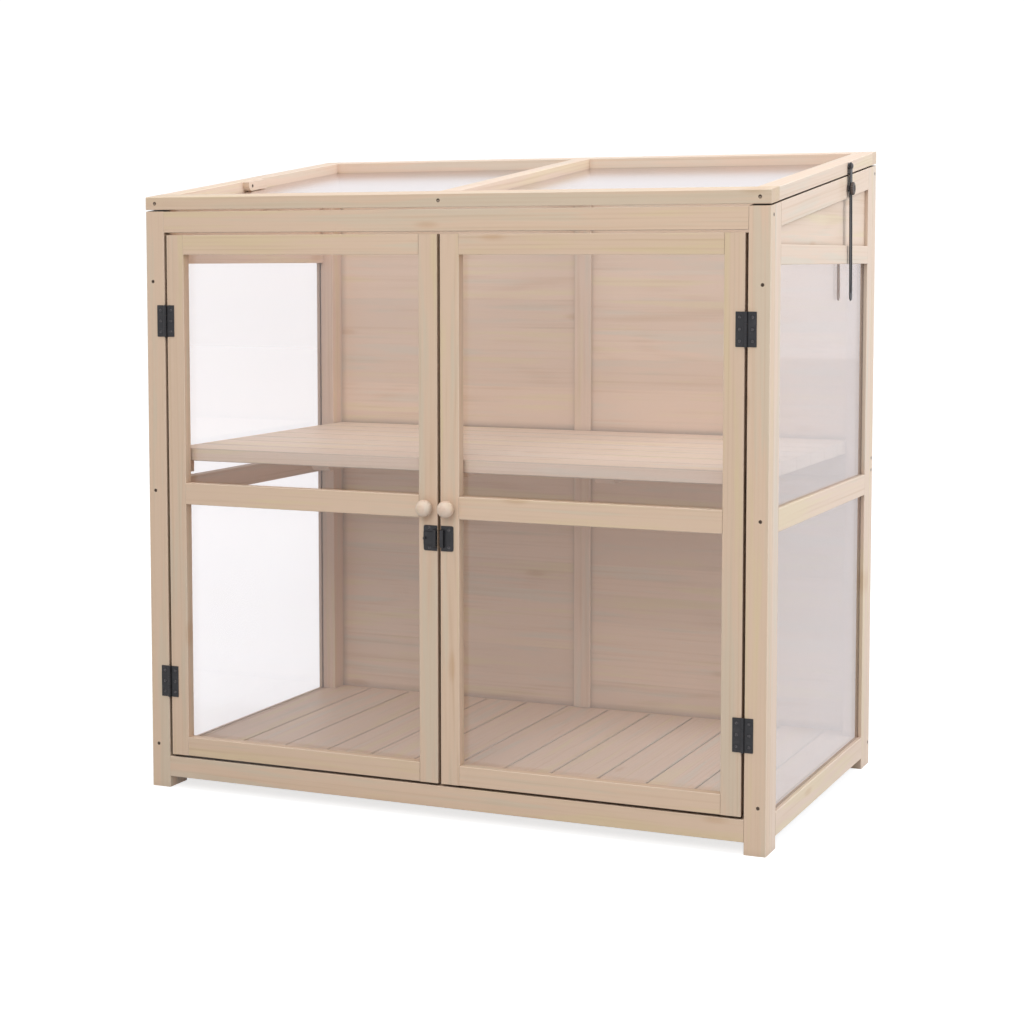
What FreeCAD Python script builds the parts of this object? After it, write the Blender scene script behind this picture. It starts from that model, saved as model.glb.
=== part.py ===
import FreeCAD, Part
import math
import os

# Wooden mini greenhouse with two glazed doors, a sloping glazed lid held by a slotted stay, a slatted shelf
# and a boarded floor. Millimetres. X runs to the right, Y to the back, Z up from the ground. The pieces are
# drawn with Y counted from the front face, and moved at the end so that the origin is mid-depth.

V = FreeCAD.Vector

# Driving dimensions of the whole
WIDTH = 1030.0
DEPTH = 610.0
FRONT_HEIGHT = 950.0
REAR_HEIGHT = 1030.0
FOOT = 18.0
EASE = 0.8

# Flat sides that small round parts are drawn with. What turns in another piece has a true round face.
SCREW_SIDES = 6
BARREL_SIDES = 8
SMALL_KNOB_SIDES = 12
CLAMP_KNOB_SIDES = 16
KNOB_SIDES = 20
END_SIDES = 8
BOW_SIDES = 8

# Timber sections
POST_WIDTH = 33.0
FRAME_THICK = 20.0
SIDE_STILE = 30.0
SIDE_THICK = 15.0
RAIL_HEIGHT = 33.0
TENON = 10.0
TENON_THICK = 7.0

# Heights of the cross rails, bottom and top edge of each
FRONT_BOTTOM_RAIL = (FOOT, FOOT + RAIL_HEIGHT)
FRONT_TOP_RAIL = (894.0, 927.0)
SIDE_BOTTOM_RAIL = (FOOT, 54.0)
SIDE_MIDDLE_RAIL = (462.0, 496.0)
SIDE_UPPER_RAIL = (844.5, 873.5)
SLOPE_RAIL_DROP = 35.0
REAR_BOTTOM_RAIL = (FOOT, 54.0)
REAR_MIDDLE_RAIL = (490.0, 530.0)
REAR_TOP_RAIL_DROP = 36.0
REAR_STILE_WIDTH = 31.0
REAR_LEDGE = 15.0

# Infill
PANE = 3.0
REBATE = 6.0
PANE_PLAY = 0.5
PANE_GROOVE = 5.0
GABLE_THICK = 6.0
SIDE_RECESS = 6.0
BACK_THICK = 9.0
BACK_RECESS = 6.0

# Floor and shelf
FLOOR_TOP = 54.0
FLOOR_THICK = 10.0
FLOOR_PITCH = 78.7
FLOOR_GAP = 2.6
FLOOR_HALF_WIDTH = 499.0
BEARER = 20.0
SHELF_TOP = 550.0
SHELF_THICK = 20.0
SHELF_FRONT = 22.0
SHELF_REAR = 589.0
SHELF_HALF_WIDTH = 481.0
SLAT_COUNT = 7
SLAT_GAP = 2.3
BATTEN_THICK = 12.0
BATTEN_WIDTH = 30.0

# Doors
DOOR_WIDTH = 475.0
DOOR_HEIGHT = 835.0
DOOR_THICK = 19.0
DOOR_BOTTOM = 55.0
DOOR_GAP = 5.0
DOOR_STILE = 31.0
DOOR_TOP_RAIL = 31.0
DOOR_BOTTOM_RAIL = 30.0
DOOR_MIDDLE_RAIL = (462.0, 496.0)
KNOB_RADIUS = 12.8
KNOB_HEIGHT = 478.0
KNOB_CENTRE = 15.5

# Surface hinges of the doors and butt hinges of the lid
HINGE_HEIGHT = 50.0
HINGE_HALF_WIDTH = 15.5
LEAF = 1.2
BARREL = 2.5
PIN = 1.2
PIN_PLAY = 0.05
KNUCKLE_GAP = 0.3
HINGE_CENTRES = (174.0, 754.0)
LID_HINGE_LENGTH = 60.0
LID_HINGE_CENTRES = (-340.0, 340.0)
BARREL_STAND_OFF = 3.2

# Lid
LID_THICK = 20.0
SEAM = 2.5
LID_FRONT_RAIL = 40.0
LID_REAR_RAIL = 26.0
LID_SIDE_RAIL = 33.0
LID_CENTRE_RAIL = 30.0

# Slotted lid stay: the pivot on the lid, the clamp bolt on the slope rail, and the share of the lid's turn
# that the bar turns back by
STAY_DEPTH = 426.0
STAY_PIVOT_HEIGHT = 998.5
STAY_CLAMP_HEIGHT = 963.5
STAY_RATIO = 0.6
LID_OPEN_DEG = 52.0
STAY_PIVOT_RADIUS = 2.5
STAY_WIDTH = 13.0
STAY_THICK = 2.0
STAY_STAND_OFF = 3.0
SPACER_RADIUS = 5.0
CLAMP_BOLT_RADIUS = 2.2
SLOT_PLAY = 0.4
STAY_TAIL = 9.0
CLAMP_KNOB_RADIUS = 10.4
CLAMP_KNOB_THICK = 5.0

# Latch across the meeting stiles
LATCH_BOTTOM = 412.5
LATCH_TOP = 451.0
LATCH_PLATE = 1.5
LATCH_BRIDGE = 6.5
LATCH_WALL = 1.2
BOLT_BOTTOM = 422.0
BOLT_TOP = 441.5
BOLT_THICK = 2.6
BOLT_PLAY = 0.35

# Values that follow from the driving dimensions
HALF = WIDTH / 2
SLOPE = (REAR_HEIGHT - FRONT_HEIGHT) / DEPTH
STRETCH = math.sqrt(1 + SLOPE * SLOPE)
LID_DROP = LID_THICK * STRETCH
POST_INNER = HALF - POST_WIDTH
SIDE_INNER = HALF - SIDE_THICK
SIDE_FRONT = FRAME_THICK + SIDE_STILE
SIDE_REAR = DEPTH - SIDE_FRONT
REAR_FRAME = DEPTH - FRAME_THICK
HINGE_X = (POST_INNER + DOOR_GAP / 2 + DOOR_WIDTH) / 2
BARREL_Y = -BARREL - 0.2
ORIGIN_DEPTH = (DEPTH + BARREL_STAND_OFF + BARREL - KNOB_CENTRE - KNOB_RADIUS) / 2

NODES = {}


def lid_top(y):
    return FRONT_HEIGHT + SLOPE * y


def body_top(y):
    return lid_top(y) - LID_DROP - SEAM


# Shapes used all through


def block(x, y, z):
    corner = V(x[0], y[0], z[0])
    return Part.makeBox(x[1] - x[0], y[1] - y[0], z[1] - z[0], corner)


def stick(x, y, z, along, ease=EASE):
    """A square-cut length of timber with its four long edges eased."""
    solid = block(x, y, z)
    axis = {"x": V(1, 0, 0), "y": V(0, 1, 0), "z": V(0, 0, 1)}[along]
    long_edges = [e for e in solid.Edges if abs(e.tangentAt(e.FirstParameter).dot(axis)) > 0.99]
    return solid.makeChamfer(ease, long_edges)


def prism_x(points, x):
    """An outline of (y, z) points carried along X from x[0] to x[1]."""
    corners = [V(x[0], y, z) for y, z in points]
    face = Part.Face(Part.makePolygon(corners + corners[:1]))
    return face.extrude(V(x[1] - x[0], 0, 0))


def sloped(x, y, drops):
    """A length that follows the slope of the lid, between two depths below the lid's top."""
    outline = [
        (y[0], lid_top(y[0]) - drops[1]),
        (y[1], lid_top(y[1]) - drops[1]),
        (y[1], lid_top(y[1]) - drops[0]),
        (y[0], lid_top(y[0]) - drops[0]),
    ]
    return prism_x(outline, x)


def eased_sloped(x, y, drops, along):
    """The same with its long edges eased, along X or up the slope."""
    solid = sloped(x, y, drops)
    picked = []
    for edge in solid.Edges:
        across = abs(edge.tangentAt(edge.FirstParameter).x) > 0.99
        if along == "x" and across:
            picked.append(edge)
        if along == "slope" and not across and abs(edge.tangentAt(edge.FirstParameter).y) > 0.5:
            picked.append(edge)
    return solid.makeChamfer(EASE, picked)


def rod(start, direction, radius, length):
    return Part.makeCylinder(radius, length, start, direction)


def turned(profile, centre, direction, sides):
    """A turned shape with flat sides, from (radius, distance) points in order along its axis."""
    rings = [ring(radius, distance, sides) for radius, distance in profile]
    faces = [flat(rings[0]), flat(rings[-1])]
    for low, high in zip(rings, rings[1:]):
        for i in range(sides):
            faces.append(flat([low[i - 1], low[i], high[i], high[i - 1]]))
    solid = Part.Solid(Part.Shell(faces))
    solid.rotate(V(0, 0, 0), *tilt_to(direction))
    solid.translate(centre)
    return solid


def ring(radius, distance, sides):
    turns = [2 * math.pi * (i + 0.5) / sides for i in range(sides)]
    return [V(radius * math.cos(a), radius * math.sin(a), distance) for a in turns]


def flat(corners):
    return Part.Face(Part.makePolygon(corners + corners[:1]))


def round_hole(radius, centre, direction, length):
    """A cutter with flat sides that a rod of this radius just passes through."""
    corner = radius / math.cos(math.pi / BARREL_SIDES)
    return turned([(corner, 0), (corner, length)], centre, direction, BARREL_SIDES)


def tilt_to(direction):
    """The axis and angle that turn +Z to a direction."""
    turn = FreeCAD.Rotation(V(0, 0, 1), direction)
    return turn.Axis, math.degrees(turn.Angle)


def mirrored(shape):
    return shape.mirror(V(0, 0, 0), V(1, 0, 0))


def joined(first, *others):
    return first.fuse(list(others)).removeSplitter()


def add(name, *solids):
    """Keep the solids of one piece, or of a set of like pieces, under a name."""
    NODES.setdefault(name, []).extend(solids)


def bore(name, cutters):
    """Take holes for other pieces out of every solid of a name."""
    NODES[name] = [solid.cut(cutters) for solid in NODES[name]]


# Screws


def screw(centre, direction, length, radius=1.6, head=3.0):
    """A countersunk screw, its head flush, driven along a direction."""
    profile = [(head, 0), (radius, head - radius + 0.6), (radius, length)]
    return turned(profile, centre, direction, SCREW_SIDES)


def drive(screws, fixings, hosts):
    """Put screws under a name and their holes in what they pass through."""
    add(screws, *fixings)
    for host in hosts:
        bore(host, fixings)


# Rails end in stub tenons that seat in the posts and stiles


def rail(x, y, z):
    """A rail along X with a stub tenon at each end."""
    middle = (y[0] + y[1]) / 2
    tongue = block(
        (x[0] - TENON, x[1] + TENON),
        (middle - TENON_THICK / 2, middle + TENON_THICK / 2),
        (z[0] + 5, z[1] - 5),
    )
    return joined(stick(x, y, z, "x"), tongue)


def side_rail(y, z):
    """A rail of the right-hand side, along Y, with a stub tenon at each end."""
    tongue = block(
        (SIDE_INNER + 4, SIDE_INNER + 4 + TENON_THICK),
        (y[0] - TENON, y[1] + TENON),
        (z[0] + 5, z[1] - 5),
    )
    return joined(stick((SIDE_INNER, HALF), y, z, "y"), tongue)


# Front and rear frames


def front_frame():
    x = (-POST_INNER, POST_INNER)
    y = (0, FRAME_THICK)
    add("front_top_rail", rail(x, y, FRONT_TOP_RAIL))
    add("front_bottom_rail", rail(x, y, FRONT_BOTTOM_RAIL))
    rails = NODES["front_top_rail"] + NODES["front_bottom_rail"]
    post = stick((POST_INNER, HALF), y, (0, REAR_HEIGHT), "z")
    post = post.cut([above_body()] + rails)
    add("front_right_post", post)
    add("front_left_post", mirrored(post))


def above_body():
    """All that is above the sloping top of the body."""
    ends = (-10.0, DEPTH + 10)
    tall = REAR_HEIGHT + 50
    outline = [(ends[0], body_top(ends[0])), (ends[1], body_top(ends[1])), (ends[1], tall), (ends[0], tall)]
    return prism_x(outline, (-HALF - 10, HALF + 10))


def rear_frame():
    x = (-POST_INNER, POST_INNER)
    y = (REAR_FRAME, DEPTH)
    top = (body_top(REAR_FRAME) - REAR_TOP_RAIL_DROP, REAR_HEIGHT)
    top_rail = stick(x, y, top, "x").cut(above_body())
    seat = (REAR_FRAME + 7, REAR_FRAME + 7 + TENON_THICK)
    tongue = block((-POST_INNER - TENON, POST_INNER + TENON), seat, (top[0] + 5, top[0] + 30))
    add("rear_top_rail", joined(top_rail, tongue))
    middle = rail(x, y, REAR_MIDDLE_RAIL)
    ledge = stick(x, (REAR_FRAME - REAR_LEDGE, REAR_FRAME), REAR_MIDDLE_RAIL, "x")
    add("rear_middle_rail", joined(middle, ledge))
    add("rear_bottom_rail", rail(x, y, REAR_BOTTOM_RAIL))
    half = REAR_STILE_WIDTH / 2
    for low, high in back_bays():
        add("rear_centre_stiles", stick((-half, half), y, (low, high), "z"))
    post = stick((POST_INNER, HALF), y, (0, REAR_HEIGHT), "z")
    rails = NODES["rear_top_rail"] + NODES["rear_middle_rail"] + NODES["rear_bottom_rail"]
    post = post.cut([above_body()] + rails)
    add("rear_right_post", post)
    add("rear_left_post", mirrored(post))
    back_panels(half)


def back_bays():
    top = body_top(REAR_FRAME) - REAR_TOP_RAIL_DROP
    return ((REAR_BOTTOM_RAIL[1], REAR_MIDDLE_RAIL[0]), (REAR_MIDDLE_RAIL[1], top))


def back_panels(half_stile):
    """Four panels held in grooves all round, behind the middle of the frame's thickness."""
    y = (DEPTH - BACK_RECESS - BACK_THICK, DEPTH - BACK_RECESS)
    for low, high in back_bays():
        for side in (-1, 1):
            ends = sorted((side * (half_stile - REBATE), side * (POST_INNER + REBATE)))
            add("back_panels", block(ends, y, (low - REBATE, high + REBATE)))
    hosts = ("rear_top_rail", "rear_middle_rail", "rear_bottom_rail", "rear_centre_stiles")
    for host in hosts + ("rear_left_post", "rear_right_post"):
        bore(host, NODES["back_panels"])


# Sides


def pane_bay(low, high):
    return (low - REBATE + PANE_PLAY, high + REBATE - PANE_PLAY)


def side_frame():
    """The right-hand side, which is mirrored for the left."""
    y = (SIDE_FRONT, SIDE_REAR)
    upper = side_rail(y, SIDE_UPPER_RAIL)
    middle = side_rail(y, SIDE_MIDDLE_RAIL)
    bottom = side_rail(y, SIDE_BOTTOM_RAIL)
    slope = slope_rail()
    front = stick((POST_INNER, HALF), (FRAME_THICK, SIDE_FRONT), (0, REAR_HEIGHT), "z")
    rear = stick((POST_INNER, HALF), (SIDE_REAR, REAR_FRAME), (0, REAR_HEIGHT), "z")
    gable = gable_panel()
    panes = [
        side_pane(SIDE_BOTTOM_RAIL[1], SIDE_MIDDLE_RAIL[0]),
        side_pane(SIDE_MIDDLE_RAIL[1], SIDE_UPPER_RAIL[0]),
    ]
    timber = [upper, middle, bottom, slope]
    timber = [piece.cut(panes + [gable]) for piece in timber]
    stiles = [piece.cut([above_body()] + panes + [gable] + timber) for piece in (front, rear)]
    keep_side("right", timber, stiles, gable, panes)
    keep_side("left", map(mirrored, timber), map(mirrored, stiles), mirrored(gable), map(mirrored, panes))


def keep_side(hand, timber, stiles, gable, panes):
    upper, middle, bottom, slope = timber
    add(hand + "_side_rails", upper, middle, bottom)
    add(hand + "_slope_rail", slope)
    add(hand + "_side_stiles", *stiles)
    add(hand + "_gable_panel", gable)
    add(hand + "_side_panes", *panes)


def slope_rail():
    start = LID_DROP + SEAM
    drops = (start, start + SLOPE_RAIL_DROP)
    body = eased_sloped((SIDE_INNER, HALF), (SIDE_FRONT, SIDE_REAR), drops, "slope")
    ends = (SIDE_FRONT - TENON, SIDE_REAR + TENON)
    tongue = sloped((SIDE_INNER + 4, SIDE_INNER + 4 + TENON_THICK), ends, (drops[0] + 8, drops[1] - 8))
    return joined(body, tongue)


def gable_panel():
    """The solid panel under the slope rail, held in grooves on its four sides."""
    outer = HALF - SIDE_RECESS
    ends = (SIDE_FRONT - REBATE, SIDE_REAR + REBATE)
    bottom = SIDE_UPPER_RAIL[1] - REBATE
    lift = SLOPE_RAIL_DROP - REBATE
    outline = [(ends[0], bottom), (ends[1], bottom), (ends[1], body_top(ends[1]) - lift)]
    outline.append((ends[0], body_top(ends[0]) - lift))
    return prism_x(outline, (outer - GABLE_THICK, outer))


def side_pane(low, high):
    """A pane held in grooves on its four sides, flush with the gable panel."""
    outer = HALF - SIDE_RECESS
    ends = (SIDE_FRONT - PANE_GROOVE, SIDE_REAR + PANE_GROOVE)
    return block((outer - PANE, outer), ends, (low - PANE_GROOVE, high + PANE_GROOVE))


# Floor and shelf


def floor():
    y = (FRAME_THICK + 1, REAR_FRAME - 1)
    z = (FLOOR_TOP - FLOOR_THICK, FLOOR_TOP)
    corners = stile_corners(0.5)
    left = -FLOOR_HALF_WIDTH
    while left < FLOOR_HALF_WIDTH:
        right = min(left + FLOOR_PITCH - FLOOR_GAP, FLOOR_HALF_WIDTH)
        add("floor_boards", stick((left, right), y, z, "y").cut(corners))
        left += FLOOR_PITCH
    z = (z[0] - BEARER, z[0])
    clear = POST_INNER - 0.5
    add("floor_bearers", block((-clear, clear), (FRAME_THICK, FRAME_THICK + BEARER), z))
    mid = DEPTH / 2
    add("floor_bearers", block((-SIDE_INNER, SIDE_INNER), (mid - BEARER / 2, mid + BEARER / 2), z))
    add("floor_bearers", block((-clear, clear), (REAR_FRAME - BEARER, REAR_FRAME), z))


def stile_corners(play):
    """The corner uprights, grown by a little, that the floor is notched round."""
    tall = (0, REAR_HEIGHT)
    cutters = []
    for side in (-1, 1):
        across = sorted((side * (POST_INNER - play), side * HALF))
        cutters.append(block(across, (0, SIDE_FRONT + play), tall))
        cutters.append(block(across, (SIDE_REAR - play, DEPTH), tall))
    return cutters


def shelf():
    x = (-SHELF_HALF_WIDTH, SHELF_HALF_WIDTH)
    z = (SHELF_TOP - SHELF_THICK, SHELF_TOP)
    slat = (SHELF_REAR - SHELF_FRONT - (SLAT_COUNT - 1) * SLAT_GAP) / SLAT_COUNT
    for i in range(SLAT_COUNT):
        front = SHELF_FRONT + i * (slat + SLAT_GAP)
        add("shelf_slats", stick(x, (front, front + slat), z, "x", 1.2))
    for centre in (-SHELF_HALF_WIDTH / 2, 0, SHELF_HALF_WIDTH / 2):
        across = (centre - BATTEN_WIDTH / 2, centre + BATTEN_WIDTH / 2)
        add("shelf_battens", shelf_batten(across))
    for side in (-1, 1):
        across = sorted((side * POST_INNER, side * (POST_INNER - 20)))
        add("shelf_cleats", block(across, (FRAME_THICK + 1, SIDE_FRONT), (z[0] - 20, z[0])))


def shelf_batten(across):
    """A cross batten under the slats, its front end cut back so that it doesn't show."""
    top = SHELF_TOP - SHELF_THICK
    ends = (SHELF_FRONT + 40, REAR_FRAME - REAR_LEDGE)
    outline = [(ends[0], top), (ends[0] + BATTEN_THICK, top - BATTEN_THICK), (ends[1], top - BATTEN_THICK)]
    outline.append((ends[1], top))
    return prism_x(outline, across)


# Doors


def door():
    """The right-hand door, which is mirrored for the left. Its meeting edge is next to the middle."""
    inner = DOOR_GAP / 2
    outer = inner + DOOR_WIDTH
    y = (0, DOOR_THICK)
    z = (DOOR_BOTTOM, DOOR_BOTTOM + DOOR_HEIGHT)
    light = (inner + DOOR_STILE, outer - DOOR_STILE)
    top = rail(light, y, (z[1] - DOOR_TOP_RAIL, z[1]))
    middle = rail(light, y, DOOR_MIDDLE_RAIL)
    bottom = rail(light, y, (z[0], z[0] + DOOR_BOTTOM_RAIL))
    low_bay = pane_bay(z[0] + DOOR_BOTTOM_RAIL, DOOR_MIDDLE_RAIL[0])
    high_bay = pane_bay(DOOR_MIDDLE_RAIL[1], z[1] - DOOR_TOP_RAIL)
    panes = [door_pane(light, bay, 0) for bay in (low_bay, high_bay)]
    rebates = [door_pane(light, bay, PANE_PLAY) for bay in (low_bay, high_bay)]
    rails = [piece.cut(rebates) for piece in (bottom, middle, top)]
    meeting = stick((inner, light[0]), y, z, "z").cut(rebates + rails)
    hanging = stick((light[1], outer), y, z, "z").cut(rebates + rails)
    knob = door_knob((inner + light[0]) / 2)
    meeting = meeting.cut(knob)
    keep_door("right", hanging, meeting, rails, panes, knob)
    hanging, meeting, knob = mirrored(hanging), mirrored(meeting), mirrored(knob)
    keep_door("left", hanging, meeting, map(mirrored, rails), map(mirrored, panes), knob)


def keep_door(hand, hanging, meeting, rails, panes, knob):
    add(hand + "_door_hinge_stile", hanging)
    add(hand + "_door_meeting_stile", meeting)
    add(hand + "_door_rails", *rails)
    add(hand + "_door_panes", *panes)
    add(hand + "_door_knob", knob)


def door_pane(light, bay, play):
    """A pane in the rebate at the back of the door, or with play the rebate itself."""
    reach = REBATE - PANE_PLAY + play
    across = (light[0] - reach, light[1] + reach)
    return block(across, (DOOR_THICK - PANE, DOOR_THICK), (bay[0] - play, bay[1] + play))


def door_knob(x):
    """A turned ball knob on a short neck, with a spigot glued into the stile."""
    neck = 4.6
    first = math.asin(neck / KNOB_RADIUS)
    bands = 7
    angles = [first + i * (math.pi - first) / bands for i in range(bands)]
    ball = [(KNOB_RADIUS * math.sin(a), KNOB_CENTRE - KNOB_RADIUS * math.cos(a)) for a in angles]
    tip = (2.0, KNOB_CENTRE + KNOB_RADIUS)
    centre = V(x, 0, KNOB_HEIGHT)
    out = V(0, -1, 0)
    head = turned([(6.2, 0), (neck, 2.0)] + ball + [tip], centre, out, KNOB_SIDES)
    return joined(head, turned([(3.0, -9.0), (3.0, 0)], centre, out, BARREL_SIDES))


# Door hinges: a leaf each side of the gap, knuckles that share one pin


def door_hinges():
    frame, moving, pins, frame_screws, door_screws = [], [], [], [], []
    for centre in HINGE_CENTRES:
        low = centre - HINGE_HEIGHT / 2
        third = HINGE_HEIGHT / 3
        cuts = [low, low + third, low + 2 * third, low + HINGE_HEIGHT]
        outer_knuckles = ((cuts[0], cuts[1] - KNUCKLE_GAP / 2), (cuts[2] + KNUCKLE_GAP / 2, cuts[3]))
        inner_knuckles = ((cuts[1] + KNUCKLE_GAP / 2, cuts[2] - KNUCKLE_GAP / 2),)
        pin = rod(V(HINGE_X, BARREL_Y, low), V(0, 0, 1), PIN, HINGE_HEIGHT)
        pins.append(pin)
        frame.append(door_leaf(1, low, outer_knuckles, PIN))
        moving.append(door_leaf(-1, low, inner_knuckles, PIN + PIN_PLAY))
        for height in (low + 8, centre, low + HINGE_HEIGHT - 8):
            frame_screws.append(leaf_screw(HINGE_X + 9.5, height))
            door_screws.append(leaf_screw(HINGE_X - 9.5, height))
    frame = [leaf.cut(frame_screws) for leaf in frame]
    moving = [leaf.cut(door_screws) for leaf in moving]
    add("door_frame_leaves", *frame, *map(mirrored, frame))
    add("door_hinge_pins", *pins, *map(mirrored, pins))
    add("right_door_leaves", *moving)
    add("left_door_leaves", *map(mirrored, moving))
    left_frame_screws = [mirrored(s) for s in frame_screws]
    left_door_screws = [mirrored(s) for s in door_screws]
    drive("frame_screws", frame_screws, ["front_right_post"])
    drive("frame_screws", left_frame_screws, ["front_left_post"])
    drive("right_door_screws", door_screws, ["right_door_hinge_stile"])
    drive("left_door_screws", left_door_screws, ["left_door_hinge_stile"])


def door_leaf(side, low, knuckles, hole):
    """One leaf on the front face. side is 1 towards the post and -1 towards the door."""
    near = HINGE_X + side * (BARREL + KNUCKLE_GAP)
    far = HINGE_X + side * HINGE_HALF_WIDTH
    leaf = block(sorted((near, far)), (-LEAF, 0), (low, low + HINGE_HEIGHT))
    up = V(0, 0, 1)
    parts = []
    for start, end in knuckles:
        parts.append(knuckle(V(HINGE_X, BARREL_Y, start), up, end - start))
        reach = sorted((HINGE_X, near + side * 0.5))
        parts.append(block(reach, (-LEAF, -0.2), (start, end)))
    holes = round_hole(hole, V(HINGE_X, BARREL_Y, low - 1), up, HINGE_HEIGHT + 2)
    return joined(leaf, *parts).cut(holes)


def knuckle(start, direction, length):
    return turned([(BARREL, 0), (BARREL, length)], start, direction, BARREL_SIDES)


def leaf_screw(x, z):
    return screw(V(x, -LEAF, z), V(0, 1, 0), 12.0, 1.4, 2.5)


# Lid


def lid():
    inner = HALF - LID_SIDE_RAIL
    front = LID_FRONT_RAIL
    rear = DEPTH - LID_REAR_RAIL
    whole = (0, LID_DROP)
    front_rail = eased_sloped((-HALF, HALF), (0, front), whole, "x")
    rear_rail = eased_sloped((-HALF, HALF), (rear, DEPTH), whole, "x")
    half = LID_CENTRE_RAIL / 2
    across = ((-HALF, -inner), (-half, half), (inner, HALF))
    left, centre, right = [eased_sloped(x, (front, rear), whole, "slope") for x in across]
    rebates = []
    for x in ((-inner, -half), (half, inner)):
        rebates.append(lid_pane(x, (front, rear), 0))
        add("lid_panes", lid_pane(x, (front, rear), PANE_PLAY))
    add("lid_front_rail", front_rail.cut(rebates))
    add("lid_rear_rail", rear_rail.cut(rebates))
    add("lid_side_rails", left.cut(rebates), right.cut(rebates))
    add("lid_centre_rail", centre.cut(rebates))
    lid_block(inner)


def lid_pane(x, y, play):
    """A pane in the rebate at the underside of the lid."""
    reach = REBATE - play
    drops = (LID_DROP - PANE * STRETCH, LID_DROP)
    return sloped((x[0] - reach, x[1] + reach), (y[0] - reach, y[1] + reach), drops)


def lid_block(inner):
    """A small wooden block screwed to the inner face of the left rail, its front end rounded under."""
    y = (245.0, 305.0)
    x = (-inner, -inner + 12.0)
    base = sloped(x, y, (1.0, 16.0))
    lowest = [e for e in base.Edges if abs(e.tangentAt(e.FirstParameter).x) > 0.99]
    lowest = min(lowest, key=lambda e: e.Vertexes[0].Z)
    add("lid_block", base.makeFillet(9.0, [lowest]))
    centre = V(x[1], y[0] + 12, lid_top(y[0] + 12) - 8)
    drive("lid_screws", [screw(centre, V(-1, 0, 0), 25.0)], ["lid_block", "lid_side_rails"])


# Lid hinges: both leaves lie in the seam, and the barrel is behind the rear face


def lid_hinge_axis():
    y = DEPTH + BARREL_STAND_OFF
    return y, lid_top(DEPTH) - LID_DROP - SEAM / 2


def lid_hinges():
    y, z = lid_hinge_axis()
    body_leaves, lid_leaves, pins = [], [], []
    for centre in LID_HINGE_CENTRES:
        low = centre - LID_HINGE_LENGTH / 2
        third = LID_HINGE_LENGTH / 3
        gap = KNUCKLE_GAP / 2
        cuts = [low + i * third for i in range(4)]
        outer_knuckles = ((cuts[0], cuts[1] - gap), (cuts[2] + gap, cuts[3]))
        pins.append(rod(V(low, y, z), V(1, 0, 0), PIN, LID_HINGE_LENGTH))
        bottom = LID_DROP + SEAM
        body_leaves.append(lid_leaf(low, (bottom - LEAF, bottom), outer_knuckles, PIN))
        inner_knuckles = ((cuts[1] + gap, cuts[2] - gap),)
        lid_leaves.append(lid_leaf(low, (LID_DROP, LID_DROP + LEAF), inner_knuckles, PIN + PIN_PLAY))
    add("lid_frame_leaves", *body_leaves)
    add("lid_leaves", *lid_leaves)
    add("lid_hinge_pins", *pins)


def lid_leaf(low, drops, knuckles, hole):
    y, z = lid_hinge_axis()
    leaf = sloped((low, low + LID_HINGE_LENGTH), (REAR_FRAME + 1, DEPTH), drops)
    parts = []
    for start, end in knuckles:
        parts.append(knuckle(V(start, y, z), V(1, 0, 0), end - start))
        parts.append(sloped((start, end), (DEPTH, y), drops))
    holes = round_hole(hole, V(low - 1, y, z), V(1, 0, 0), LID_HINGE_LENGTH + 2)
    return joined(leaf, *parts).cut(holes)


# Lid stay


def turn(point, centre, degrees):
    """A (y, z) point turned about a centre, the way that lifts the front."""
    angle = math.radians(-degrees)
    y, z = point[0] - centre[0], point[1] - centre[1]
    return (
        centre[0] + y * math.cos(angle) - z * math.sin(angle),
        centre[1] + y * math.sin(angle) + z * math.cos(angle),
    )


def bolt_seen_from_bar(lid_angle):
    """Where the clamp bolt is in the bar's own frame, as drawn at rest, at an angle of the lid."""
    in_lid = turn((STAY_DEPTH, STAY_CLAMP_HEIGHT), lid_hinge_axis(), -lid_angle)
    y, z = turn(in_lid, (STAY_DEPTH, STAY_PIVOT_HEIGHT), STAY_RATIO * lid_angle)
    return V(0, y, z)


def slot_path():
    """The bolt's place in the bar at rest, half open and fully open. The three lie on a shallow arc."""
    return [bolt_seen_from_bar(share * LID_OPEN_DEG) for share in (0, 0.5, 1)]


def stay_bar(x):
    """A straight flat bar, round at both ends, with a slot that follows the bolt's shallow arc."""
    rest, half_open, full_open = slot_path()
    down = (full_open - rest).normalize()
    across = down.cross(V(1, 0, 0))
    crown = (half_open - rest).dot(across)
    middle = rest + across * (crown / 2)
    pivot = V(0, STAY_DEPTH, STAY_PIVOT_HEIGHT)
    top = middle + down * (pivot - middle).dot(down)
    tail = middle + down * ((full_open - rest).Length + STAY_TAIL)
    bar = round_ended([top, (top + tail) / 2, tail], STAY_WIDTH)
    over = down * 0.8
    slot = round_ended([rest - over, half_open, full_open + over], 2 * (CLAMP_BOLT_RADIUS + SLOT_PLAY))
    hole = rod(V(0, pivot.y, pivot.z), V(1, 0, 0), STAY_PIVOT_RADIUS + PIN_PLAY, STAY_THICK)
    bar = bar.cut([slot, hole])
    bar.translate(V(x, 0, 0))
    return bar


def round_ended(line, width):
    """A plate along a line of three points, straight or bowed, with ends rounded in flats."""
    start, middle, end = line
    first = (middle - start).normalize()
    last = (end - middle).normalize()
    lean = [first, (end - start).normalize(), last]
    sides = [way.cross(V(1, 0, 0)) * (width / 2) for way in lean]
    near = bow(*[p + side for p, side in zip(line, sides)])
    far = bow(*[p - side for p, side in zip(line, sides)])
    tip = half_turn(end, sides[2], last * (width / 2))
    tail = half_turn(start, sides[0] * -1, first * (-width / 2))
    return flat(near + tip + far[::-1] + tail).extrude(V(STAY_THICK, 0, 0))


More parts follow.
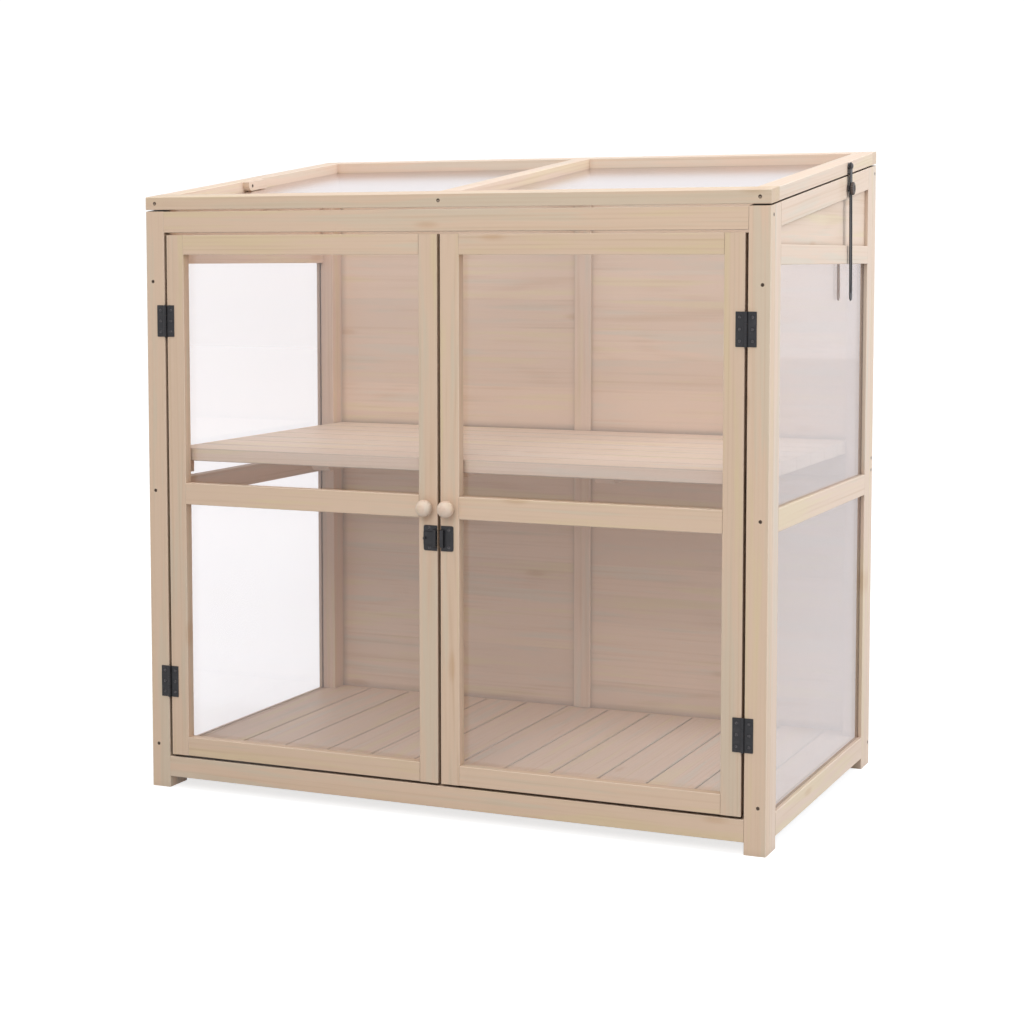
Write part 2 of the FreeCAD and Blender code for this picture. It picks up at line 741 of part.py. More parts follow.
def half_turn(centre, side, ahead):
    """The points of a half circle between a side and the opposite one, without the two ends."""
    angles = [math.pi * i / END_SIDES for i in range(1, END_SIDES)]
    return [centre + side * math.cos(a) + ahead * math.sin(a) for a in angles]


def bow(start, middle, end):
    """Points of a shallow curve through three points, or the two ends of a line."""
    chord = (start + end) / 2
    rise = middle - chord
    if rise.Length < 0.01:
        return [start, end]
    points = []
    for i in range(BOW_SIDES + 1):
        share = i / BOW_SIDES
        points.append(start + (end - start) * share + rise * (4 * share * (1 - share)))
    return points


def lid_stay():
    """The slotted bar, its pivot screw on the lid, and the clamp bolt and knob on the slope rail."""
    add("lid_stay_bar", stay_bar(HALF + STAY_STAND_OFF))
    out = V(1, 0, 0)
    pivot = V(HALF, STAY_DEPTH, STAY_PIVOT_HEIGHT)
    near = STAY_STAND_OFF - 0.2
    far = STAY_STAND_OFF + STAY_THICK + 0.2
    shank = turned([(2.0, -14.0), (2.0, 0)], pivot, out, SCREW_SIDES)
    collar = spacer(pivot)
    journal = rod(pivot + out * near, out, STAY_PIVOT_RADIUS, far - near)
    head = turned([(4.6, far), (4.0, far + 1.8)], pivot, out, SMALL_KNOB_SIDES)
    add("lid_stay_pivot", joined(shank, collar, journal, head))
    bore("lid_side_rails", NODES["lid_stay_pivot"])
    clamp(V(HALF, STAY_DEPTH, STAY_CLAMP_HEIGHT), STAY_STAND_OFF + STAY_THICK + 0.3)


def spacer(seat):
    """The collar that keeps the bar off the timber."""
    profile = [(SPACER_RADIUS, 0), (SPACER_RADIUS, STAY_STAND_OFF - 0.2)]
    return turned(profile, seat, V(1, 0, 0), BARREL_SIDES)


def clamp(seat, start):
    """The bolt fixed in the slope rail, and the knob that is screwed on it to clamp the bar."""
    out = V(1, 0, 0)
    ends = (-SIDE_THICK, start + 4.0)
    bolt = turned([(CLAMP_BOLT_RADIUS, h) for h in ends], seat, out, BARREL_SIDES)
    add("lid_stay_bolt", joined(bolt, spacer(seat)))
    bore("right_slope_rail", [bolt])
    rim = CLAMP_KNOB_RADIUS
    top = start + CLAMP_KNOB_THICK
    profile = [(6.0, start), (rim - 1.0, start + 1.0), (rim, start + 2.0), (rim, top - 1.6), (rim - 2.4, top)]
    add("lid_stay_knob", turned(profile, seat, out, CLAMP_KNOB_SIDES).cut(bolt))


# Latch: a flat bolt in a bridge on the left door, and a keeper on the right


def rounded_plate(x, z, far):
    """A thin plate on the front of a stile, rounded at the corners next to far."""
    plate = block(x, (-LATCH_PLATE, 0), z)
    through = [e for e in plate.Edges if abs(e.tangentAt(e.FirstParameter).y) > 0.99]
    return plate.makeFillet(3.0, [e for e in through if abs(e.Vertexes[0].X - far) < 0.01])


def bridge(x):
    """An arch over the bolt, open along X."""
    arch = stick(x, (-LATCH_BRIDGE, -LATCH_PLATE), (BOLT_BOTTOM - 4, BOLT_TOP + 4), "x", 1.0)
    tunnel_z = (BOLT_BOTTOM - BOLT_PLAY, BOLT_TOP + BOLT_PLAY)
    return arch.cut(block((x[0] - 1, x[1] + 1), (-LATCH_BRIDGE + LATCH_WALL, -LATCH_PLATE), tunnel_z))


def latch_screw(x, z):
    return screw(V(x, -LATCH_PLATE, z), V(0, 1, 0), 12.0, 1.3, 2.4)


def latch():
    z = (LATCH_BOTTOM, LATCH_TOP)
    base = joined(rounded_plate((-25.0, -2.6), z, -25.0), bridge((-7.4, -2.6)))
    keeper = joined(rounded_plate((4.0, 24.5), z, 24.5), bridge((4.0, 9.6)))
    base_screws = [latch_screw(-15.5, h) for h in (z[0] + 4, z[1] - 4)]
    keeper_screws = [latch_screw(17.0, h) for h in (z[0] + 6, z[1] - 6)]
    add("latch_base", base)
    add("latch_keeper", keeper)
    drive("left_door_screws", base_screws, ["latch_base", "left_door_meeting_stile"])
    drive("right_door_screws", keeper_screws, ["latch_keeper", "right_door_meeting_stile"])
    back = -LATCH_PLATE - BOLT_PLAY
    tongue = stick((-24.0, -3.6), (back - BOLT_THICK, back), (BOLT_BOTTOM, BOLT_TOP), "z", 0.5)
    grip_seat = V(-21.4, back - BOLT_THICK, (BOLT_BOTTOM + BOLT_TOP) / 2)
    profile = [(1.4, 0), (1.4, 1.4), (2.3, 2.2), (1.6, 3.4)]
    grip = turned(profile, grip_seat, V(0, -1, 0), SMALL_KNOB_SIDES)
    add("latch_bolt", joined(tongue, grip))


# Long screws that hold the frames together


def frame_fixings():
    fronts = [screw(V(HALF - 12, 0, z), V(0, 1, 0), 38.0) for z in (70.0, 482.0, 816.5)]
    drive("frame_screws", fronts, ["front_right_post", "right_side_stiles"])
    drive("frame_screws", [mirrored(s) for s in fronts], ["front_left_post", "left_side_stiles"])
    top = [screw(V(HALF, 13.3, 915.0), V(-1, 0, 0), 55.0)]
    rears = [screw(V(HALF, 602.0, z), V(-1, 0, 0), 55.0) for z in (37.0, 500.0, 520.0, 993.0)]
    rear_hosts = ["rear_bottom_rail", "rear_middle_rail", "rear_top_rail"]
    drive("frame_screws", top, ["front_right_post", "front_top_rail"])
    drive("frame_screws", [mirrored(s) for s in top], ["front_left_post", "front_top_rail"])
    drive("frame_screws", rears, ["rear_right_post", "back_panels"] + rear_hosts)
    drive("frame_screws", [mirrored(s) for s in rears], ["rear_left_post", "back_panels"] + rear_hosts)


def lid_fixings():
    half = LID_SIDE_RAIL / 2
    for x in (-HALF + half, 0.0, HALF - half):
        uphill = V(0, 1, SLOPE)
        front = screw(V(x, 0, lid_top(0) - LID_DROP / 2), uphill, 70.0)
        rear = screw(V(x, DEPTH, lid_top(DEPTH) - LID_DROP / 2), uphill * -1, 60.0)
        hosts = ["lid_front_rail", "lid_rear_rail", "lid_side_rails", "lid_centre_rail"]
        drive("lid_screws", [front, rear], hosts)


def export():
    os.makedirs("parts", exist_ok=True)
    shift = V(0, -ORIGIN_DEPTH, 0)
    for name, solids in NODES.items():
        solids = [body for solid in solids for body in solid.Solids]
        shape = solids[0] if len(solids) == 1 else Part.makeCompound(solids)
        shape = shape.copy()
        shape.translate(shift)
        shape.exportStep("parts/" + name + ".step")
        print(name, len(solids))


front_frame()
rear_frame()
side_frame()
floor()
shelf()
door()
door_hinges()
lid()
lid_hinges()
lid_stay()
latch()
frame_fixings()
lid_fixings()
export()
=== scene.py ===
import math

import bmesh
import bpy
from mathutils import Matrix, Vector
from mathutils.geometry import tessellate_polygon


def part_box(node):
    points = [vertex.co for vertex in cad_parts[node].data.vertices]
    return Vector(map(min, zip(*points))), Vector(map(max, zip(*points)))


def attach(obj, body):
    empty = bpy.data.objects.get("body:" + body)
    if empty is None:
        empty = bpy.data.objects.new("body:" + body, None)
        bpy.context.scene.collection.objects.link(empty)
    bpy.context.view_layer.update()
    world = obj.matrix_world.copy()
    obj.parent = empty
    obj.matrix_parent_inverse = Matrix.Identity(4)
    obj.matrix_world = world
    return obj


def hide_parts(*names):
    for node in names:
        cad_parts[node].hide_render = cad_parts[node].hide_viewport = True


# The wooden mini greenhouse: planed pine, clear sheet, black hinges, latch and stay, dark screws.
# The frame is in metres, X to the right, Y to the back, Z up. The metal and the knobs are built here
# in millimetres, with Y counted from the front face of the cabinet as it is in the CAD source.

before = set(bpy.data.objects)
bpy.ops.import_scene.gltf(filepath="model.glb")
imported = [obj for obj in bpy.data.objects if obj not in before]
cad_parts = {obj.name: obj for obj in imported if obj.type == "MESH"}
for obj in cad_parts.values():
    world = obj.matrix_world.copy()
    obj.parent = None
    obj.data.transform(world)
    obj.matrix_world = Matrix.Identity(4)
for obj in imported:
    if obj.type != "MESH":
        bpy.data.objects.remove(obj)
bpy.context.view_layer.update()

MM = 0.001
# The first node's seed, one more for each node after it
SEED = 7
# Where the cabinet's front face is along Y
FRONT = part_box("front_left_post")[0][1]

# The photograph's camera. Its place was solved from the cabinet's corners.
IMAGE_SIDE = 1024
FOCAL_PIXELS = 2074.5
SENSOR = 36.0
CAMERA_PLACE = (1339.7 * MM, -3104.5 * MM, 855.9 * MM)
CAMERA_AZIMUTH = 23.45
CAMERA_DOWN = 4.28
CAMERA_SHIFT = -100 / IMAGE_SIDE
CAMERA_SIGHT = 100.0

# Sizes of the cabinet that the fittings are placed by. The lid's drop is its thickness, measured
# upright.
DEPTH = 610.0
HALF = 515.0
FRONT_HEIGHT = 950.0
SLOPE = 80 / DEPTH
LID_DROP = 20.0 * math.hypot(1, SLOPE)
SEAM = 2.5

X_AXIS, Y_AXIS, Z_AXIS = Vector((1, 0, 0)), Vector((0, 1, 0)), Vector((0, 0, 1))
UPHILL = Vector((0, 1, SLOPE)).normalized()
ABOVE = Vector((0, -SLOPE, 1)).normalized()


def colour(red, green, blue):
    """A colour in the 0 to 255 values of a screen, as the linear values that a shader takes."""
    linear = []
    for value in (red, green, blue):
        share = value / 255
        linear.append(share / 12.92 if share <= 0.04045 else ((share + 0.055) / 1.055) ** 2.4)
    return (*linear, 1.0)


# Shader maths


class Amount:
    """A number that varies over a surface. Its operators add Math nodes to the finish it is in."""

    def __init__(self, finish, socket):
        self.finish = finish
        self.socket = socket

    def maths(self, operation, *others):
        return self.finish.node("Math", {"operation": operation}, dict(enumerate(others)))

    def __add__(self, other):
        return self.maths("ADD", self, other)

    __radd__ = __add__

    def __sub__(self, other):
        return self.maths("SUBTRACT", self, other)

    def __rsub__(self, other):
        return self.maths("SUBTRACT", other, self)

    def __mul__(self, other):
        return self.maths("MULTIPLY", self, other)

    __rmul__ = __mul__

    def __truediv__(self, other):
        return self.maths("DIVIDE", self, other)

    def __rtruediv__(self, other):
        return self.maths("DIVIDE", other, self)

    def __pow__(self, other):
        return self.maths("POWER", self, other)

    def __abs__(self):
        return self.maths("ABSOLUTE", self)

    def over(self, limit):
        return self.maths("GREATER_THAN", self, limit)

    def most(self, other):
        return self.maths("MAXIMUM", self, other)

    def least(self, other):
        return self.maths("MINIMUM", self, other)

    def whole(self):
        return self.maths("FLOOR", self)

    def wave(self):
        """From 0 to 1 and back each time that the amount grows by 1."""
        return self.maths("SINE", self * (2 * math.pi)) * 0.5 + 0.5

    def between(self, low, high):
        """0 at low, 1 at high, eased between the two."""
        eased = {"interpolation_type": "SMOOTHSTEP"}
        return self.finish.node("MapRange", eased, {0: self, 1: low, 2: high})


class Finish:
    """The node tree of a material or of the world, and the one way that nodes are added to it."""

    def __init__(self, holder):
        holder.use_nodes = True
        self.holder = holder
        self.tree = holder.node_tree
        self.tree.nodes.clear()

    def node(self, kind, settings=None, values=None, output=0):
        made = self.tree.nodes.new("ShaderNode" + kind)
        for setting, choice in (settings or {}).items():
            if setting == "stops":
                self.set_stops(made.color_ramp, choice)
            else:
                setattr(made, setting, choice)
        for key, value in (values or {}).items():
            if isinstance(value, Amount):
                self.tree.links.new(value.socket, made.inputs[key])
            else:
                made.inputs[key].default_value = value
        if not made.outputs:
            return self.holder
        return Amount(self, made.outputs[output])

    def set_stops(self, ramp, stops):
        while len(ramp.elements) < len(stops):
            ramp.elements.new(1.0)
        for element, (position, shade) in zip(ramp.elements, stops):
            element.position = position
            element.color = shade

    def place(self):
        """Where a point is on its own object, so that a pattern moves with the piece."""
        return self.node("TexCoord", output="Object")

    def facing(self):
        return self.node("TexCoord", output="Normal")

    def parts(self, vector, kind="SeparateXYZ"):
        source = self.node(kind, None, {0: vector}).socket.node
        return [Amount(self, source.outputs[i]) for i in range(3)]

    def point(self, x, y, z):
        return self.node("CombineXYZ", None, {0: x, 1: y, 2: z})

    def along(self, vector, axis):
        return self.node("VectorMath", {"operation": "DOT_PRODUCT"}, {0: vector, 1: axis}, "Value")

    def noise(self, vector, scale, detail, rough):
        values = {"Vector": vector, "Scale": scale, "Detail": detail, "Roughness": rough}
        return self.node("TexNoise", None, values)

    def blend(self, share, first, second, how="MIX"):
        settings = {"data_type": "RGBA", "blend_type": how, "clamp_factor": True}
        return self.node("Mix", settings, {0: share, 6: first, 7: second}, 2)

    def bump(self, height, strength, distance):
        values = {"Strength": strength, "Distance": distance, "Height": height}
        return self.node("Bump", None, values)

    def openness(self, reach):
        """1 where nothing is near a surface, falling to 0 where it is shut in within the reach."""
        return self.node("AmbientOcclusion", {"samples": 8}, {"Distance": reach}, "AO")

    def surface(self, shader):
        return self.node("OutputMaterial", None, {"Surface": shader})


def new_finish(name):
    return Finish(bpy.data.materials.new(name))


# Timber

PINK = colour(231, 203, 182)
STRAW = colour(230, 206, 176)
GREY = colour(224, 204, 185)
LATEWOOD = colour(206, 170, 137)
STREAK = colour(214, 182, 153)
KNOT = colour(196, 150, 104)
# Painted shade in crevices, in gaps and along the joints between boards
CREVICE_SHADE = colour(70, 48, 34)
END_GRAIN = colour(206, 176, 146)
# The paler eased edges are a painted highlight
EDGE_HIGHLIGHT = colour(240, 222, 204)
HUES = ((0.36, GREY), (0.46, PINK), (0.54, PINK), (0.64, STRAW))

# How often a noise changes in a metre, along the grain and across it, and how close the rings lie
PATCHES = (2.4, 36.0)
STREAKS = (1.8, 170.0)
FIBRES = (22.0, 850.0)
WAVER = (6.0, 30.0)
RINGS = 165.0

# A node with more cuts than this along an axis is a row of boards of one width.
FEW_CUTS = 3
LEAST_GAP = 0.2 * MM
# The painted shade along the joints between boards: the width where it is full, its reach, the shelf's
# reach and its strength
JOINT_WIDTH = 0.8 * MM
JOINT_REACH = 3.4 * MM
SHELF_JOINT_REACH = 5.5 * MM
JOINT_SHADE = 0.42
# From how far off other pieces cast painted shade on the timber, and how much of that painted shade it
# takes. The shelf's reach is short, because the doors' panes close 3 mm in front of it.
BOARD_SHADE = (12.0 * MM, 0.2)
SHELF_SHADE = (2.0 * MM, 0.2)
PANEL_SHADE = (14.0 * MM, 0.62)
# What the lid's panes cover, from the middle to each side and from the front face to the back
PANES_HALF = HALF - 24.5
PANES_FRONT = 34.0
PANES_BACK = DEPTH - 20.0
PLAIN = (1.0, 1.0, 1.0)


def gaps(node, axis):
    """Where the separate solids of a node are parted along an axis, found from its faces."""
    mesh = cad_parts[node].data
    spans = []
    for face in mesh.polygons:
        places = [mesh.vertices[i].co[axis] for i in face.vertices]
        spans.append((min(places), max(places)))
    spans.sort()
    cuts, reach = [], spans[0][1]
    for low, high in spans:
        if low > reach + LEAST_GAP:
            cuts.append((low + reach) / 2)
        reach = max(reach, high)
    return cuts


def pitch_of(cuts):
    return (cuts[-1] - cuts[0]) / (len(cuts) - 1)


def board_number(place, cuts):
    """The number of the board that a point is on, counted along an axis over the cuts."""
    if len(cuts) > FEW_CUTS:
        return ((place - cuts[0]) / pitch_of(cuts)).whole()
    number = 0.0
    for cut in cuts:
        number = place.over(cut) + number
    return number


def board_edge(place, cuts, reach):
    """1 at the joints between boards of one width, 0 further from them than the reach."""
    pitch = pitch_of(cuts)
    share = (place - cuts[0]) / pitch
    from_middle = abs(share - share.whole() - 0.5)
    return from_middle.between(0.5 - reach / pitch, 0.5 - JOINT_WIDTH / pitch)


def under_lid_panes(spots):
    """1 where the lid's rails carry its panes, 0 at their outer edges, which close on the cabinet."""
    outside = abs(spots[0]).over(PANES_HALF * MM)
    behind_front = spots[1].over(FRONT + PANES_FRONT * MM)
    behind_back = spots[1].over(FRONT + PANES_BACK * MM)
    return (1.0 - outside) * (behind_front - behind_back)


# The axes along, across and into a board, for each way that the grain runs
GRAIN = {
    "x": (X_AXIS, Z_AXIS, Y_AXIS),
    "y": (Y_AXIS, X_AXIS, Z_AXIS),
    "z": (Z_AXIS, X_AXIS, Y_AXIS),
    "panel": (Y_AXIS, Z_AXIS, X_AXIS),
    "shelf": (X_AXIS, Y_AXIS, Z_AXIS),
    "slope": (UPHILL, X_AXIS, ABOVE),
    "turned": (Y_AXIS, X_AXIS, Z_AXIS),
}


class Pine(Finish):
    """Planed pine. grain names the way it runs, cuts part the boards along X, Y and Z, glued is the
    width of the strips that a panel is glued up from, light_and_shade multiplies its colour by the
    painted light and shade of its node, and sheet_axis numbers the axis that faces the clear sheet.
    Timber seen through a sheet that lies on it doesn't get the painted crevice shade."""

    def __init__(self, name, grain, cuts=((), (), ()), glued=None, light_and_shade=PLAIN, sheet_axis=None):
        super().__init__(bpy.data.materials.new(name))
        self.grain = grain
        self.cuts = cuts
        self.glued = glued
        self.light_and_shade = light_and_shade
        self.sheet_axis = sheet_axis
        self.spots = self.parts(self.place())
        self.square = [abs(part) for part in self.parts(self.facing())]

    def material(self, seed):
        self.count_boards(seed)
        self.lay_grain()
        late, waver = self.year_rings()
        streaks = self.drawn_out(STREAKS, 3.0)
        fibres = self.drawn_out(FIBRES, 2.0)
        shade = self.toned(self.colours(late, streaks, waver), fibres)
        values = {
            "Base Color": self.blend(self.painted_crevice_shade(), self.edges(shade), CREVICE_SHADE),
            "Roughness": fibres * 0.12 + late * 0.05 + 0.42,
            "Specular IOR Level": 0.5,
            "Normal": self.bump(fibres * 0.3 + late * 0.5 + streaks * 0.6, 0.25, 0.18 * MM),
        }
        return self.surface(self.node("BsdfPrincipled", None, values))

    def count_boards(self, seed):
        """Find the number of the board that a point is on, and how near it is to a joint."""
        self.number, self.joint = seed * 1.37, None
        reach = SHELF_JOINT_REACH if self.grain == "shelf" else JOINT_REACH
        for spot, cuts, step in zip(self.spots, self.cuts, (1.0, 5.0, 17.0)):
            if cuts:
                self.number = board_number(spot, cuts) * step + self.number
            if len(cuts) > FEW_CUTS:
                self.joint = board_edge(spot, cuts, reach)

    def lay_grain(self):
        """Find the distances along, across and into a board, and three chances for each board."""
        place = self.place()
        long_axis, wide_axis, deep_axis = GRAIN[self.grain]
        self.wide = self.along(place, wide_axis)
        self.deep = self.along(place, deep_axis)
        if self.glued:
            strip = (self.wide / self.glued).whole()
            self.number = strip * 3.1 + self.number
            self.wide = self.wide - strip * self.glued - self.glued / 2
        number = {"W": self.number}
        chance = self.node("TexWhiteNoise", {"noise_dimensions": "1D"}, number, "Color")
        self.chances = self.parts(chance, "SeparateColor")
        self.length = self.along(place, long_axis) + self.chances[0] * 9.0

    def drawn_out(self, often, detail, rough=0.6):
        """Noise drawn out along the grain."""
        along, across = often
        point = self.point(self.length * along, self.wide * across, self.deep * across)
        return self.noise(point, 1.0, detail, rough)

    def year_rings(self):
        """The dark late wood of the rings round a pith beside the board, and the waver in them."""
        _, second, third = self.chances
        wide, deep = self.wide, self.deep
        bend = self.point(self.length * 1.1, wide * 5.0, deep * 5.0 + self.number)
        drift = self.noise(bend, 1.0, 1.0, 0.4)
        waver = self.drawn_out(WAVER, 2.0, 0.5)
        beside = wide + (second - 0.5) * 0.05
        beyond = deep * 0.5 + drift * 0.055 + third * 0.03 + 0.015
        pith = (beside * beside + beyond * beyond) ** 0.5
        rings = pith * RINGS + deep * (second * 90.0 + 60.0) + waver * 0.5
        return rings.wave() ** 3.0, waver

    def knots(self, waver):
        """Small round knots, at about half of the places where there could be one."""
        cell = self.point(self.length * 2.3, self.wide * 8.5 + self.number, 0.5)
        eye = self.node("TexVoronoi", {"voronoi_dimensions": "2D"}, {"Vector": cell, "Scale": 1.0})
        chance = Amount(self, eye.socket.node.outputs["Color"])
        lottery = self.parts(chance, "SeparateColor")[0]
        return (1.0 - (eye + waver * 0.04).between(0.035, 0.09)) * lottery.over(0.45)

    def colours(self, late, streaks, waver):
        """Patches of three hues, with the late wood, streaks and knots over them."""
        along, across = PATCHES
        start = self.length * along + self.number
        patches = self.noise(self.point(start, self.wide * across, self.deep * across), 1.0, 3.0, 0.6)
        shade = self.node("ValToRGB", {"stops": HUES}, {0: patches})
        shade = self.blend(late * streaks.between(0.36, 0.72) * 0.28, shade, LATEWOOD)
        shade = self.blend(streaks.between(0.5, 0.78) * 0.38, shade, STREAK)
        return self.blend(self.knots(waver) * 0.3, shade, KNOT)

    def toned(self, shade, fibres):
        """With the painted light and shade of its node multiplied in, and a little lighter or darker
        from board to board and from fibre to fibre.
        """
        board = self.chances[0] * (0.075 if self.glued else 0.045)
        tone = board + fibres * 0.04 + 0.965
        tones = {i: tone * share for i, share in enumerate(self.light_and_shade)}
        return self.blend(1.0, shade, self.node("CombineColor", None, tones), "MULTIPLY")

    def edges(self, shade):
        """Darker on the sawn ends, with a painted highlight on the eased edges."""
        if self.grain != "turned":
            cut_end = abs(self.along(self.facing(), GRAIN[self.grain][0])).between(0.75, 0.92)
            shade = self.blend(cut_end * 0.5, shade, END_GRAIN)
        x, y, z = self.square
        eased = 1.0 - x.most(y).most(z).between(0.80, 0.93)
        return self.blend(eased * 0.35, shade, EDGE_HIGHLIGHT)

    def painted_crevice_shade(self):
        """Painted shade where other pieces shut a place in, and along the joints between boards."""
        if self.glued:
            reach, depth = PANEL_SHADE
        else:
            reach, depth = SHELF_SHADE if self.grain == "shelf" else BOARD_SHADE
        openness = self.openness(reach)
        painted_shade = 1.0 - openness.between(0.06, 0.40)
        if self.sheet_axis is not None:
            painted_shade = painted_shade * (1.0 - self.sheeted())
        painted_shade = painted_shade.most((1.0 - openness) * depth)
        if self.joint is not None:
            painted_shade = painted_shade.most(self.joint * self.square[2] * JOINT_SHADE)
        return painted_shade

    def sheeted(self):
        """1 where the timber faces the clear sheet that lies on it."""
        towards = self.square[self.sheet_axis]
        return towards * under_lid_panes(self.spots) if self.sheet_axis == 2 else towards


# Clear sheet

SHEET = (0.99, 0.985, 0.99, 1.0)
MIRROR = (0.88, 0.85, 0.865, 1.0)
DUST = colour(232, 230, 232)
BLUR = 0.03
LID_BLUR = 0.16


def clear_sheet(name, seed, blur):
    """Thin clear sheet: seen through face on, and a mirror of its surroundings at a shallow angle."""
    sheet = new_finish(name)
    place = sheet.place()
    film = sheet.noise(place, 2.6 + seed, 3.0, 0.6)
    specks = sheet.noise(place, 240.0, 2.0, 0.6).between(0.66, 0.8)
    slant = sheet.node("LayerWeight", None, {"Blend": 0.5}, "Facing")
    share = (slant ** 5.0 * 1.8 + 0.045) * (film * 0.14 + 0.93)
    clear = sheet.node("BsdfTransparent", None, {"Color": SHEET})
    dust = sheet.node("BsdfDiffuse", None, {"Color": DUST})
    dusty = sheet.node("MixShader", None, {0: specks * 0.006 + film * 0.010, 1: clear, 2: dust})
    mirror = sheet.node("BsdfGlossy", None, {"Color": MIRROR, "Roughness": blur})
    return sheet.surface(sheet.node("MixShader", None, {0: share.least(0.93), 1: dusty, 2: mirror}))


# Metal and plastic

COAT = colour(46, 45, 48)
RUBBED_COAT = colour(68, 66, 68)
# Painted shade in the coat's crevices, and from how far off other pieces cast it
COAT_CREVICE_SHADE = colour(12, 12, 13)
COAT_REACH = 1.6 * MM


def coated_steel(name):
    """Black powder coat: a fine skin like orange peel, with paler rubbed places and painted shade in its
    crevices.
    """
    steel = new_finish(name)
    place = steel.place()
    peel = steel.noise(place, 1100.0, 2.0, 0.5)
    rubbed = steel.noise(place, 90.0, 3.0, 0.65).between(0.48, 0.72)
    painted_shade = 1.0 - steel.openness(COAT_REACH).between(0.25, 0.8)
    values = {
        "Base Color": steel.blend(painted_shade, steel.blend(rubbed * 0.6, COAT, RUBBED_COAT), COAT_CREVICE_SHADE),
        "Roughness": rubbed * 0.12 + peel * 0.1 + 0.34,
        "Metallic": 0.25,
        "Normal": steel.bump(peel, 0.3, 0.12 * MM),
    }
    return steel.surface(steel.node("BsdfPrincipled", None, values))


def dark_steel(name, pale, dark, scale):
    """Steel darkened by its plating, with paler worn spots."""
    steel = new_finish(name)
    stain = steel.noise(steel.place(), scale, 3.0, 0.6)
    values = {
        "Base Color": steel.blend(stain.between(0.35, 0.7), dark, pale),
        "Roughness": stain * 0.22 + 0.30,
        "Metallic": 0.75,
        "Normal": steel.bump(stain, 0.2, 0.08 * MM),
    }
    return steel.surface(steel.node("BsdfPrincipled", None, values))


def moulded_plastic(name):
    """Dark plastic with a fine grain from its mould."""
    plastic = new_finish(name)
    grain = plastic.noise(plastic.place(), 700.0, 2.0, 0.5)
    values = {
        "Base Color": plastic.blend(grain.between(0.3, 0.7), colour(70, 58, 54), colour(92, 78, 72)),
        "Roughness": grain * 0.14 + 0.40,
        "Normal": plastic.bump(grain, 0.25, 0.12 * MM),
    }
    return plastic.surface(plastic.node("BsdfPrincipled", None, values))


# What each node is made of


def paint(node, material):
    """Give a CAD node its finish through its object's own slots."""
    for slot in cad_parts[node].material_slots:
        slot.link = "OBJECT"
        slot.material = material


TIMBER = {
    "front_top_rail": "x",
    "front_bottom_rail": "x",
    "front_left_post": "z",
    "front_right_post": "z",
    "rear_top_rail": "x",
    "rear_middle_rail": "x",
    "rear_bottom_rail": "x",
    "rear_centre_stiles": "z",
    "rear_left_post": "z",
    "rear_right_post": "z",
    "back_panels": "x",
    "left_side_rails": "panel",
    "right_side_rails": "panel",
    "left_slope_rail": "slope",
    "right_slope_rail": "slope",
    "left_side_stiles": "z",
    "right_side_stiles": "z",
    "left_gable_panel": "panel",
    "right_gable_panel": "panel",
    "floor_boards": "y",
    "floor_bearers": "x",
    "shelf_slats": "shelf",
    "shelf_battens": "y",
    "shelf_cleats": "y",
    "left_door_hinge_stile": "z",
    "left_door_meeting_stile": "z",
    "left_door_rails": "x",
    "right_door_hinge_stile": "z",
    "right_door_meeting_stile": "z",
    "right_door_rails": "x",
    "lid_front_rail": "x",
    "lid_rear_rail": "x",
    "lid_side_rails": "slope",
    "lid_centre_rail": "slope",
    "lid_block": "slope",
}
GLUED = {"back_panels": 52 * MM, "left_gable_panel": 74 * MM, "right_gable_panel": 74 * MM}
# The axis that faces the clear sheet in a frame, by what the names of the frame's nodes hold
SHEET_AXES = {"_door_": 1, "left_side_": 0, "right_side_": 0, "lid_": 2}
# What a node's colour is multiplied by, so that it comes out in this light as in the photograph: painted
# light inside the cabinet, and painted shade on the faces in front, on the lid's front rail and on the
# rear middle rail under the shelf
INDOOR_PAINTED_LIGHT = (1.06, 1.12, 1.14)
FRONT_PAINTED_SHADE = (0.94, 0.91, 0.85)
LIGHT_AND_SHADE_TINTS = {
    "back_panels": INDOOR_PAINTED_LIGHT,
    "rear_centre_stiles": INDOOR_PAINTED_LIGHT,
    "rear_middle_rail": (0.88, 0.92, 0.93),
    "floor_boards": (1.09, 1.14, 1.16),
    "shelf_slats": (0.97, 1.0, 1.01),
    "lid_front_rail": (0.91, 0.885, 0.82),
}


def light_and_shade_of(node):
    in_front = "door" in node or node.startswith("front")
    return LIGHT_AND_SHADE_TINTS.get(node, FRONT_PAINTED_SHADE if in_front else PLAIN)


def timber():
    for seed, (node, grain) in enumerate(TIMBER.items(), SEED):
        cuts = [gaps(node, axis) for axis in range(3)]
        sheet_axis = next((axis for mark, axis in SHEET_AXES.items() if mark in node), None)
        wood = Pine("pine_" + node, grain, cuts, GLUED.get(node), light_and_shade_of(node), sheet_axis)
        paint(node, wood.material(seed))


def panes():
    for seed, node in enumerate(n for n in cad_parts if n.endswith("_panes")):
        blur = LID_BLUR if node == "lid_panes" else BLUR
        paint(node, clear_sheet("clear_" + node, seed * 0.3, blur))


# Shapes that the fittings are built from

WELD = 0.002 * MM
SHARP_ANGLE = math.radians(36)
THREAD_SIDES = 12
CORNER_POINTS = 6
# How far inside its widest radius a turned shape still has its flutes
RIM = 1.5
# The cross recess of a screw, in shares of the radius of the flat round it: how far its arms reach,
# half their width, and how deep it is
RECESS_MOUTH = (0.72, 0.15, 0.0)
RECESS_FLOOR = (0.32, 0.08, 0.5)


